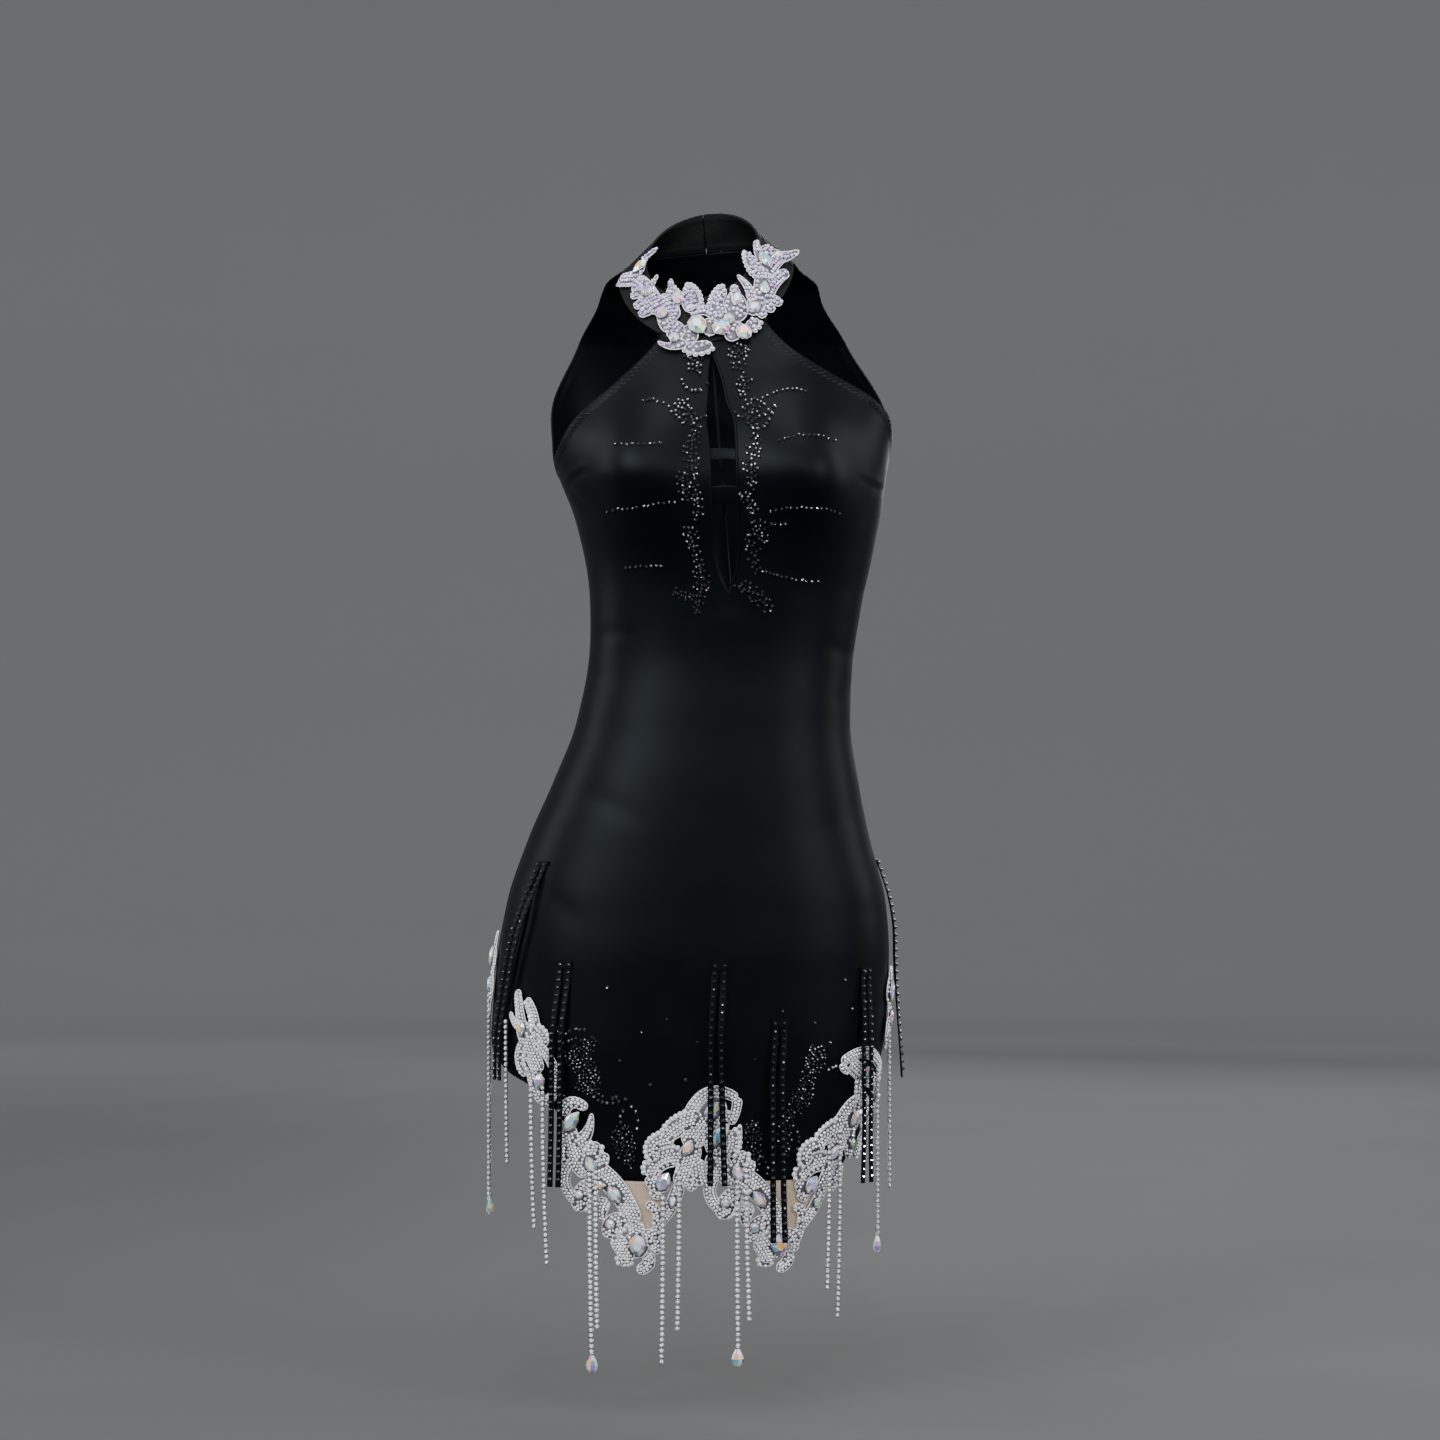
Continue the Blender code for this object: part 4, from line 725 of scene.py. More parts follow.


# Colours read from each facet's value. The tinted stops are the coatings' own colours; the near-white stops
# are painted glints and the near-black ones painted dark reflections.
CRYSTAL_STOPS = [
    (0.00, (0.10, 0.10, 0.12)), (0.09, (0.20, 0.20, 0.23)), (0.13, (0.86, 0.87, 0.90)),
    (0.30, (0.42, 0.44, 0.50)), (0.38, (0.98, 0.98, 0.99)), (0.50, (0.90, 0.91, 0.94)),
    (0.56, (0.52, 0.46, 0.74)), (0.60, (0.95, 0.95, 0.97)), (0.72, (0.60, 0.62, 0.68)),
    (0.78, (0.50, 0.80, 0.78)), (0.82, (0.97, 0.97, 0.98)), (0.91, (0.90, 0.88, 0.70)),
    (0.95, (0.86, 0.60, 0.76)), (1.00, (0.30, 0.30, 0.36)),
]
RAINBOW_STOPS = [
    (0.00, (0.06, 0.07, 0.10)), (0.10, (0.22, 0.25, 0.32)), (0.19, (0.04, 0.36, 0.56)),
    (0.28, (0.72, 0.80, 0.86)), (0.37, (0.20, 0.60, 0.18)), (0.45, (0.88, 0.90, 0.62)),
    (0.53, (0.70, 0.86, 0.90)), (0.61, (0.22, 0.07, 0.58)), (0.68, (0.70, 0.68, 0.86)),
    (0.77, (0.74, 0.10, 0.42)), (0.84, (0.94, 0.54, 0.14)), (0.90, (0.84, 0.74, 0.92)),
    (1.00, (0.14, 0.17, 0.26)),
]
LILAC_STOPS = [
    (0.00, (0.02, 0.015, 0.04)), (0.10, (0.06, 0.04, 0.11)), (0.15, (0.72, 0.68, 0.82)),
    (0.23, (0.16, 0.06, 0.42)), (0.31, (0.94, 0.93, 0.98)), (0.40, (0.30, 0.17, 0.62)),
    (0.48, (0.56, 0.07, 0.44)), (0.57, (0.96, 0.92, 0.98)), (0.66, (0.10, 0.08, 0.42)),
    (0.75, (0.80, 0.74, 0.92)), (0.84, (0.12, 0.42, 0.58)), (0.91, (0.96, 0.95, 0.98)),
    (1.00, (0.08, 0.05, 0.20)),
]
# Black of the beads; the two top stops, grey and near-white, are painted glints.
JET_AND_PAINTED_GLINT_STOPS = [
    (0.00, (0.002, 0.002, 0.003)), (0.55, (0.008, 0.008, 0.010)), (0.86, (0.016, 0.018, 0.020)),
    (0.91, (0.26, 0.28, 0.31)), (1.00, (0.86, 0.88, 0.92)),
]


# Mesh building


class Bundle:
    """Many small solids gathered into one mesh."""

    def __init__(self, seed=1):
        self.points, self.faces, self.shade, self.facet, self.count = [], [], [], [], 0
        self.chance = np.random.default_rng(seed)

    def add(self, points, faces, shade=0, tones=None):
        """Gather one solid; each face draws its facet value between its two tones."""
        points = np.asarray(points, float).reshape(-1, 3)
        self.points.append(points)
        self.faces += [tuple(corner + self.count for corner in face) for face in faces]
        self.shade += [shade] * len(faces)
        luck = self.chance.random(len(faces))
        self.facet += list(luck if tones is None else tones[0] + (tones[1] - tones[0]) * luck)
        self.count += len(points)

    def grid(self, points, shade=0, round_it=False, closed=False):
        """Skin over a grid of points; closed joins its last row to its first."""
        rows, columns = points.shape[:2]
        faces = []
        for row in range(rows if closed else rows - 1):
            after = (row + 1) % rows
            for column in range(columns if round_it else columns - 1):
                beside = (column + 1) % columns
                faces.append((row * columns + column, after * columns + column,
                              after * columns + beside, row * columns + beside))
        self.add(points, faces, shade)

    def tube(self, line, radius, sides=6, shade=0, closed=False, up=(0.0, 0.0, 1.0)):
        """Round cord along a line of points."""
        if closed:
            way = unit(np.roll(line, -1, axis=0) - np.roll(line, 1, axis=0))
        else:
            way = unit(np.gradient(line, axis=0))
        side = unit(np.cross(way, np.array(up, float)) + 1e-9)
        top = np.cross(side, way)
        turn = np.linspace(0, 2 * math.pi, sides, endpoint=False)
        ring = side[:, None] * np.cos(turn)[None, :, None] + top[:, None] * np.sin(turn)[None, :, None]
        size = np.broadcast_to(np.asarray(radius, float), (len(line),))
        self.grid(line[:, None] + ring * size[:, None, None], shade, True, closed)

    def stones(self, template, point, along, side, normal, size):
        """Copies of a template set at points, with the template's x along, y sideways, z out.

        Size holds one width for each copy, or its three sizes.
        """
        shape, faces, *tones = template
        size = np.asarray(size, float)
        scale = np.broadcast_to(size if size.ndim == 2 else size[:, None], (len(point), 3))
        placed = point[:, None]
        for axis, way in enumerate((along, side, normal)):
            placed = placed + way[:, None] * (shape[None, :, axis, None] * scale[:, None, axis, None])
        for corners in placed:
            self.add(corners, faces, tones=tones[0] if tones else None)

    def piece(self, name, materials, slot, smooth=False, replaces=()):
        """Object made of what was gathered, which rides on the dress."""
        mesh = bpy.data.meshes.new(name)
        mesh.from_pydata(np.concatenate(self.points).tolist(), [], self.faces)
        for material in materials:
            mesh.materials.append(material)
        mesh.polygons.foreach_set("material_index", self.shade)
        facet = mesh.attributes.new("facet", "FLOAT", "FACE")
        facet.data.foreach_set("value", np.array(self.facet, np.float32))
        mesh.polygons.foreach_set("use_smooth", [smooth] * len(mesh.polygons))
        mesh.update()
        return settle(name, mesh, replaces)


PIECES = {}


def settle(name, mesh, replaces=()):
    """Object of a mesh, put into the scene, onto the part's body and among the pieces."""
    thing = bpy.data.objects.new(name, mesh)
    bpy.context.scene.collection.objects.link(thing)
    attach(thing, "root")
    if replaces:
        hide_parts(*replaces)
    PIECES[name] = thing
    return thing


def cut_stone(outline, table=0.52, girdle=0.22, crown=0.55, tones=((0.0, 0.1), (0.06, 1), (0.12, 1))):
    """Points and faces of a faceted stone over an outline of unit size.

    Tones hold the least and the most of the facet value for its sides, its crown and its table. Low values
    read the dark stops, so the sides carry painted shade, and high values reach the painted glints.
    """
    outline = np.array(outline, float)
    count = len(outline)
    middles = (outline + np.roll(outline, -1, axis=0)) / 2 * table / 0.92
    low = np.column_stack([outline, np.zeros(count)])
    high = np.column_stack([outline, np.full(count, girdle)])
    top = np.column_stack([middles, np.full(count, crown)])
    faces = []
    for corner in range(count):
        after = (corner + 1) % count
        faces.append((corner, after, count + after, count + corner))
        faces.append((count + corner, count + after, 2 * count + corner))
        faces.append((count + after, 2 * count + after, 2 * count + corner))
    faces.append(tuple(range(2 * count, 3 * count)))
    kinds = np.array([0, 1, 1] * count + [2])
    return np.vstack([low, high, top]), faces, np.array(tones)[kinds].T


def ring_outline(count, turn=0.0):
    """Corners of a regular outline with a radius of a half."""
    angles = np.linspace(0, 2 * math.pi, count, endpoint=False) + turn
    return np.column_stack([np.cos(angles), np.sin(angles)]) / 2


def marquise_outline(count=12):
    """Pointed boat-shaped outline."""
    angles = np.linspace(0, 2 * math.pi, count, endpoint=False)
    x = np.cos(angles) / 2
    return np.column_stack([x, np.sign(np.sin(angles)) * (0.5 - 2 * x * x) * (1 - 0.15 * np.abs(x))])


def drop_outline(count=12):
    """Tear-shaped outline with its point at +x."""
    angles = np.linspace(0, 2 * math.pi, count, endpoint=False)
    pinch = np.clip(1 - np.cos(angles), 0, 1.3) ** 0.6 / 1.17
    return np.column_stack([np.cos(angles) / 2, np.sin(angles) * pinch / 2])


KITE = [(0.5, 0.0), (0.28, 0.34), (0.0, 0.5), (-0.32, 0.40), (-0.5, 0.0), (-0.32, -0.40),
        (0.0, -0.5), (0.28, -0.34)]
CUTS = {
    "round": cut_stone(ring_outline(10)),
    "marquise": cut_stone(marquise_outline(), 0.55, 0.16, 0.42),
    "drop": cut_stone(drop_outline(), 0.55, 0.16, 0.42),
    "kite": cut_stone(KITE, 0.50, 0.16, 0.45),
}
CRYSTAL = cut_stone(ring_outline(7, 0.3), 0.50, 0.20, 0.50)
# Only bead tables reach the top stops of the black ramp, so a few beads show a painted glint.
BEAD = cut_stone(ring_outline(8), 0.42, 0.34, 0.74, ((0.0, 0.5), (0.0, 0.84), (0.20, 0.97)))


def cup_template(sides=8, height=0.34, rim=0.62):
    """Open metal cup that a round stone of unit size sits in."""
    angles = np.linspace(0, 2 * math.pi, sides, endpoint=False) + math.pi / sides
    ring = np.column_stack([np.cos(angles), np.sin(angles)])
    rows = [(0.50, -0.10), (rim, 0.06), (rim, height), (rim - 0.10, height + 0.02)]
    points = np.vstack([np.column_stack([ring * radius, np.full(sides, z)]) for radius, z in rows])
    faces = [tuple(range(sides))[::-1]]
    for row in range(len(rows) - 1):
        for corner in range(sides):
            after = (corner + 1) % sides
            faces.append((row * sides + corner, row * sides + after,
                          (row + 1) * sides + after, (row + 1) * sides + corner))
    return points, faces


CUP = cup_template()


class DressSizes(bpy.types.PropertyGroup):
    """Sizes that a user would change."""
    crystal: bpy.props.FloatProperty(name="Crystal", description="Width of a trim crystal",
                                     default=0.0027, unit="LENGTH")
    crystal_step: bpy.props.FloatProperty(name="Crystal step", description="Distance between crystals",
                                          default=0.0029, unit="LENGTH")
    cord: bpy.props.FloatProperty(name="Cord", description="Radius of the cord round a scroll",
                                  default=0.00050, unit="LENGTH")
    padding: bpy.props.FloatProperty(name="Padding", description="How far a scroll's middle rises",
                                     default=0.0014, unit="LENGTH")
    scallop: bpy.props.FloatProperty(name="Scallop", description="Width of an edge bump",
                                     default=0.0042, unit="LENGTH")
    chain_step: bpy.props.FloatProperty(name="Chain step", description="Distance between chain stones",
                                        default=0.0041, unit="LENGTH")
    chain_stone: bpy.props.FloatProperty(name="Chain stone", description="Width of a chain stone",
                                         default=0.0032, unit="LENGTH")
    ribbon: bpy.props.FloatProperty(name="Ribbon", description="Width of one hanging ribbon",
                                    default=0.0046, unit="LENGTH")
    ribbon_step: bpy.props.FloatProperty(name="Ribbon bead step", description="Distance between beads",
                                         default=0.0061, unit="LENGTH")
    stitch: bpy.props.FloatProperty(name="Stitch", description="Length of an edge stitch",
                                    default=0.0024, unit="LENGTH")


class DressColours(bpy.types.PropertyGroup):
    """Colours and finishes that a user would change."""
    satin: bpy.props.FloatVectorProperty(name="Satin", description="Colour of the stretch satin",
                                         default=(0.0007, 0.0010, 0.0015), subtype="COLOR")
    satin_roughness: bpy.props.FloatProperty(name="Satin roughness", description="Width of its sheen",
                                             default=0.44, subtype="FACTOR")
    band: bpy.props.FloatVectorProperty(name="Band", description="Colour of the neckband",
                                        default=(0.0010, 0.0012, 0.0016), subtype="COLOR")
    cord: bpy.props.FloatVectorProperty(name="Cord", description="Colour of the scroll cord",
                                        default=(0.78, 0.78, 0.82), subtype="COLOR")
    # The scroll cloth is silver; this near-black colour is painted shade in the gaps between the crystals.
    padding: bpy.props.FloatVectorProperty(name="Padding", description="Colour of the scroll cloth",
                                           default=(0.095, 0.095, 0.115), subtype="COLOR")
    net: bpy.props.FloatVectorProperty(name="Net", description="Colour of the nude net",
                                       default=(0.56, 0.42, 0.31), subtype="COLOR")
    metal: bpy.props.FloatVectorProperty(name="Metal", description="Colour of cups and settings",
                                         default=(0.60, 0.60, 0.64), subtype="COLOR")
    floor: bpy.props.FloatVectorProperty(name="Floor", description="Colour of the studio floor",
                                         default=(0.300, 0.306, 0.315), subtype="COLOR")


MATERIALS = {}


def finishes():
    """Materials of the dress, made once."""
    if MATERIALS:
        return MATERIALS
    colours = bpy.context.scene.dress_colours
    MATERIALS["satin"] = satin_finish("black_stretch_satin", colours.satin, colours.satin_roughness)
    MATERIALS["knit"] = knit_finish("black_band_knit", colours.band)
    MATERIALS["stitch"] = thread_finish("black_stitching", (0.02, 0.02, 0.024), 0.0)
    MATERIALS["cord"] = thread_finish("silver_cord", colours.cord, 0.25)
    # Padding colour: painted shade between the crystals.
    MATERIALS["padding"] = thread_finish("silver_padding_painted_shade", colours.padding, 0.35)
    MATERIALS["metal"] = thread_finish("silver_cups", colours.metal, 0.95)
    MATERIALS["crystal"] = stone_finish("crystal_stones", CRYSTAL_STOPS, 0.08, 0.10)
    MATERIALS["rainbow"] = stone_finish("rainbow_stones", RAINBOW_STOPS, 0.05, 0.18)
    MATERIALS["lilac"] = stone_finish("lilac_stones", LILAC_STOPS, 0.07, 0.10)
    MATERIALS["jet"] = stone_finish("black_beads", JET_AND_PAINTED_GLINT_STOPS, 0.05, 0.0)
    MATERIALS["net"] = net_finish("nude_net", colours.net)
    return MATERIALS


# Cloth


def seam_edge(start, edge, side, rows_above, rows_below):
    """Edge of a panel: round the armhole, then down the side seam to the hem."""
    corner = math.radians(edge[-1][0]) + side * SIDE_SEAM / 2 / SEAM_RADIUS
    armhole = [(start[0] * MEAN_RADIUS, start[1])]
    armhole += [(math.radians(degrees) * MEAN_RADIUS, height) for degrees, height in edge[:-1]]
    armhole.append((corner * MEAN_RADIUS, edge[-1][1]))
    above = spread(armhole, rows_above + 1)
    above[:, 0] /= MEAN_RADIUS
    heights = np.linspace(edge[-1][1], hem_height(corner), rows_below + 1)
    return np.vstack([above, np.column_stack([np.full(rows_below, corner), heights[1:]])])


def hem_height(angle):
    """Height of the skirt's lower edge at an angle that is measured on the cloth."""
    return read_hem(np.degrees(wrapped(angle + turn_at(HEM_TOP))))[..., 0]


def patch(top, bottom, left, right):
    """Grid filled between four edge rows of points that share their corners."""
    across = np.linspace(0, 1, len(top))[None, :, None]
    down = np.linspace(0, 1, len(left))[:, None, None]
    rows = (1 - down) * top[None] + down * bottom[None]
    columns = (1 - across) * left[:, None] + across * right[:, None]
    corners = (1 - down) * ((1 - across) * top[0] + across * top[-1])
    return rows + columns - corners - down * ((1 - across) * bottom[0] + across * bottom[-1])


def crease_relief(angle, height):
    """Soft troughs and ridges of the worn cloth, as a distance inwards."""
    depth = np.zeros_like(angle)
    for angle_0, height_0, angle_1, height_1, half_width, rise in CREASES:
        start = np.array([math.radians(angle_0) * MEAN_RADIUS, height_0])
        run = np.array([math.radians(angle_1) * MEAN_RADIUS, height_1]) - start
        x, z = angle * MEAN_RADIUS - start[0], height - start[1]
        share = (x * run[0] + z * run[1]) / (run @ run)
        bow = CREASE_BOW * np.linalg.norm(run) * np.sin(np.clip(share, 0, 1) * math.pi)
        off = (x * run[1] - z * run[0]) / np.linalg.norm(run) + bow
        fade = np.clip(1 - (2 * share - 1) ** 2, 0, 1)
        depth += rise * MM * fade * np.exp(-(off / (half_width * MM)) ** 2)
    return depth


# Turned edges: width, rise of the band, height and length of its puckers
ARMHOLE_TURN = (0.0065, 0.00055, 0.00022, 0.0052)
SEAM_TURN = (0.0016, -0.00030, 0.00012, 0.0110)
HEM_TURN = (0.0110, 0.00045, 0.00010, 0.0090)


def edge_relief(flat, line, width, rise, wave, step):
    """Turned edge beside a line: a raised band, its stitch groove and small puckers."""
    gap = np.full(flat.shape[:2], 1.0)
    along = np.zeros(flat.shape[:2])
    travel = travel_of(line)
    for index in range(len(line) - 1):
        start, run = line[index], line[index + 1] - line[index]
        share = np.clip(((flat - start) @ run) / max(run @ run, 1e-12), 0, 1)
        distance = np.linalg.norm(flat - start - share[..., None] * run, axis=-1)
        closer = distance < gap
        gap = np.where(closer, distance, gap)
        along = np.where(closer, travel[index] + share * np.linalg.norm(run), along)
    band = rise / (1 + np.exp((gap - width) / (0.12 * width)))
    groove = 0.5 * rise * np.exp(-((gap - width) / (0.25 * width)) ** 2)
    pucker = wave * np.sin(along / step * 2 * math.pi) * np.exp(-(gap / (0.9 * width)) ** 2)
    return band - groove + pucker


def panel_grid(join, edge_a, edge_b, rows_above, rows_below, columns, keyhole):
    """Grid of a panel's outer side, with its creases and turned edges."""
    round_band = np.radians(np.linspace(join[0], join[1], columns + 1))
    ring = on_band(round_band, -SEAM / BAND_HEIGHT)
    centre = read_section(ring[:, 2])[:, 0]
    ring_angle = np.unwrap(np.arctan2(ring[:, 0] - centre, -ring[:, 1]))
    middle = math.radians(sum(join) / 2)
    ring_angle += 2 * math.pi * round((middle - ring_angle[columns // 2]) / (2 * math.pi))
    top = np.column_stack([ring_angle, ring[:, 2]])
    left = seam_edge(top[0], edge_a, 1, rows_above, rows_below)
    right = seam_edge(top[-1], edge_b, -1, rows_above, rows_below)
    foot_angle = np.linspace(left[-1, 0], right[-1, 0], columns + 1)
    cloth = patch(top, np.column_stack([foot_angle, hem_height(foot_angle)]), left, right)
    angle, height = cloth[..., 0], cloth[..., 1]
    if keyhole:
        angle = opened(angle, height, columns)
    world = angle + turn_at(height)
    flat = np.stack([angle * SEAM_RADIUS, height], axis=-1)
    rise = -crease_relief(angle, height)
    for edge in (left, right):
        line = edge * [SEAM_RADIUS, 1]
        rise += edge_relief(flat, line[:rows_above + 1:2], *ARMHOLE_TURN)
        rise += edge_relief(flat, line[rows_above::3], *SEAM_TURN)
    rise += edge_relief(flat, flat[-1, ::2], *HEM_TURN)
    grid = on_dress(world, height, rise)
    fall = top[None, :, 1] - height + MEAN_RADIUS * np.abs(angle - top[None, :, 0])
    share = np.clip(fall / RING_BLEND, 0, 1)
    weight = (1 - share) ** 2 * (1 + 2 * share)
    return grid + weight[..., None] * (ring - grid[0])[None]


def keyhole_column(columns):
    """Column of the front's grid that runs down the left side of the keyhole."""
    return int(round(columns * KEYHOLE_SHARE))


def opened(angle, height, columns):
    """Angles of a grid whose two middle columns follow the sides of the keyhole."""
    left = keyhole_column(columns)
    centre, half = np.moveaxis(read_keyhole(height), -1, 0)
    steps = np.arange(columns + 1)
    made = angle.copy()
    for column, sign in ((left, -1), (left + 1, 1)):
        level = height[:, column]
        x = centre[:, column] + sign * half[:, column]
        target = front_angle(x, level) - turn_at(level)
        shift = target - angle[:, column]
        if sign < 0:
            near = steps[None, :] <= left
            share = steps[None, :] / left
        else:
            near = steps[None, :] > left
            share = (columns - steps[None, :]) / (columns - left - 1)
        made += np.where(near, shift[:, None] * share, 0.0)
    return made


def cloth_piece(name, grid, replaces, wall=CLOTH_WALL, skip=None, finish="satin"):
    """Thin cloth over a grid of points on its outer side."""
    rows, columns = grid.shape[:2]
    faces = []
    for row in range(rows - 1):
        for column in range(columns - 1):
            if skip is None or column != skip:
                corner = row * columns + column
                faces.append((corner, corner + columns, corner + columns + 1, corner + 1))
    mesh = bpy.data.meshes.new(name)
    mesh.from_pydata(grid.reshape(-1, 3).tolist(), [], faces)
    mesh.materials.append(finishes()[finish])
    mesh.polygons.foreach_set("use_smooth", [True] * len(mesh.polygons))
    thing = settle(name, mesh, replaces)
    if skip is not None:
        weld = thing.modifiers.new("centre_join", "WELD")
        weld.merge_threshold = CENTRE_WELD
    solid = thing.modifiers.new("cloth", "SOLIDIFY")
    solid.thickness = wall
    solid.offset = -1.0


def keyhole_sides(grid, left):
    """The two edges of the keyhole on a panel's grid, as one closed line."""
    gap = np.linalg.norm(grid[:, left] - grid[:, left + 1], axis=-1)
    open_rows = np.where(gap > KEYHOLE_OPEN)[0]
    first, last = open_rows[0] - 1, open_rows[-1] + 1
    down = grid[first:last + 1, left]
    up = grid[first + 1:last, left + 1][::-1]
    return np.vstack([down, up])


def inset_line(grid, distance, from_right):
    """Points a distance in from one side edge of a grid, row by row."""
    rows = grid[:, ::-1] if from_right else grid
    travel = np.concatenate([np.zeros((len(rows), 1)),
                             np.cumsum(np.linalg.norm(np.diff(rows, axis=1), axis=-1), axis=1)], axis=1)
    return np.array([read_along(row, run, distance) for row, run in zip(rows, travel)])


def zigzag(outer, inner, step):
    """Corners of a zigzag between two lines that run side by side."""
    travel = travel_of(outer)
    want = np.arange(0, travel[-1], step)
    line = read_along(outer, travel, want)
    line[1::2] = read_along(inner, travel, want)[1::2]
    return line


def armhole_stitches(name, grid, seed, insets, facing):
    """Zigzag stitching along both armholes, given the panel's grid above the side seams."""
    threads = Bundle(seed)
    for from_right in (False, True):
        outer, inner = (inset_line(grid, inset, from_right) for inset in insets)
        stitches = zigzag(outer, inner, bpy.context.scene.dress_sizes.stitch)
        threads.tube(stitches, STITCH_RADIUS, 4, up=facing)
    threads.piece(name, [finishes()["stitch"]], "black_satin", smooth=True)


# Columns of a panel's grid, then its rows above and below the top of the side seam
FRONT_COLUMNS, FRONT_ABOVE, FRONT_BELOW = 138, 84, 190
BACK_COLUMNS, BACK_ABOVE, BACK_BELOW = 138, 84, 180
# Thread radius, how far in from the edge both sides of the zigzag lie, and the radius of the
# rolled edge of the keyhole
STITCH_RADIUS = 0.00026
FRONT_STITCHES = (0.0018, 0.0082)
BACK_STITCHES = (0.0018, 0.0072)
KEYHOLE_ROLL = 0.0011


class DRESS_OT_front(bpy.types.Operator):
    """Front panel with its keyhole, and the stitching of its edges"""
    bl_idname = "dress.front"
    bl_label = "Front cloth"

    def execute(self, context):
        grid = panel_grid(FRONT_JOIN, FRONT_EDGE_LEFT, FRONT_EDGE_RIGHT,
                          FRONT_ABOVE, FRONT_BELOW, FRONT_COLUMNS, True)
        left = keyhole_column(FRONT_COLUMNS)
        cloth_piece("front_cloth", grid, ["front_panel"], skip=left)
        rolled = Bundle(3)
        rolled.tube(keyhole_sides(grid, left), KEYHOLE_ROLL, 8, closed=True, up=(0.0, -1.0, 0.0))
        rolled.piece("keyhole_binding", [finishes()["satin"]], "black_satin", smooth=True)
        armhole_stitches("armhole_stitching", grid[:FRONT_ABOVE + 1], 4, FRONT_STITCHES,
                         (0.0, -1.0, 0.2))
        return {"FINISHED"}


class DRESS_OT_back(bpy.types.Operator):
    """Plain back panel"""
    bl_idname = "dress.back"
    bl_label = "Back cloth"

    def execute(self, context):
        grid = panel_grid(BACK_JOIN, BACK_EDGE_RIGHT, BACK_EDGE_LEFT,
                          BACK_ABOVE, BACK_BELOW, BACK_COLUMNS, False)
        cloth_piece("back_cloth", grid, ["back_panel"])
        armhole_stitches("back_stitching", grid[:BACK_ABOVE + 1], 5, BACK_STITCHES,
                         (0.0, 1.0, 0.2))
        return {"FINISHED"}


class DRESS_OT_neckband(bpy.types.Operator):
    """Neckband, its fastening tab and the straps behind the keyhole"""
    bl_idname = "dress.neckband"
    bl_label = "Neckband and straps"

    def execute(self, context):
        self.band()
        self.tab()
        for strap in KEYHOLE_STRAPS:
            self.strap(*strap)
        return {"FINISHED"}

    def band(self):
        """Knit band, open at the centre back, with a stitch groove near both edges."""
        angle = np.linspace(-math.pi + BAND_SLIT, math.pi - BAND_SLIT, 261)[None, :]
        share = np.linspace(1, 0, 29)[:, None]
        edge = np.exp(-((1 - share) / 0.05) ** 2) + np.exp(-(share / 0.05) ** 2)
        groove = np.exp(-((share - 0.86) / 0.03) ** 2) + np.exp(-((share - 0.14) / 0.03) ** 2)
        soft = 0.0004 * np.sin(angle * 7 + share * 5) * np.sin(share * math.pi)
        grid = on_band(angle, share, 0.0002 * edge - 0.0003 * groove + soft)
        cloth_piece("neckband_cloth", grid, ["neckband"], BAND_WALL, finish="knit")

    def tab(self):
        """Overlap that closes the band, with a rounded rim."""
        half, (low, high) = math.radians(TAB_HALF_DEG), TAB_SHARES
        angle = np.linspace(math.pi - half, math.pi + half, 33)[None, :]
        share = np.linspace(high, low, 21)[:, None]
        rim = np.minimum(np.minimum(share - low, high - share) / 0.12,
                         np.minimum(angle - math.pi + half, math.pi + half - angle) / 0.05)
        grid = on_band(angle, share, TAB_OUT + 0.0005 * np.clip(rim, 0, 1) ** 0.5)
        cloth_piece("neckband_tab_cloth", grid, ["neckband_tab"], TAB_WALL, finish="knit")

    def strap(self, name, top, bottom, left, right):
        """Strap across the keyhole, behind the front cloth."""
        angle = np.radians(np.linspace(left, right, 41))[None, :]
        down = np.linspace(0, 1, 15)[:, None]
        height = top + (bottom - top) * down + 0.0006 * np.cos(angle * 16)
        crown = 0.0005 * np.sin(down * math.pi) ** 0.5
        grid = on_dress(angle, height, crown - STRAP_DEPTH + 0 * angle)
        cloth_piece(name + "_cloth", grid, [name], STRAP_WALL)


def plumb_path(angle_top, angle_bottom, top, bottom, lift, ease, flare):
    """Middle line of a ribbon pair and its outward ways: on the cloth, then hanging plumb."""
    height = np.linspace(top, bottom, RIBBON_ROWS)
    share = (top - height) / (top - bottom)
    angle = np.radians(angle_top + (angle_bottom - angle_top) * share)
    eased = np.clip((top - height) / RIBBON_EASE_LENGTH, 0, 1)
    path = on_dress(angle, height, lift + ease * eased * eased * (3 - 2 * eased))
    outward = level_normal(angle, height)
    fullest = int(np.argmax(path @ outward[-1]))
    below = np.arange(len(height)) > fullest
    outward[below] = outward[fullest]
    path[below, :2] = path[fullest, :2]
    path[below] += outward[fullest] * (flare * (height[fullest] - height[below]))[:, None]
    return path, outward, share


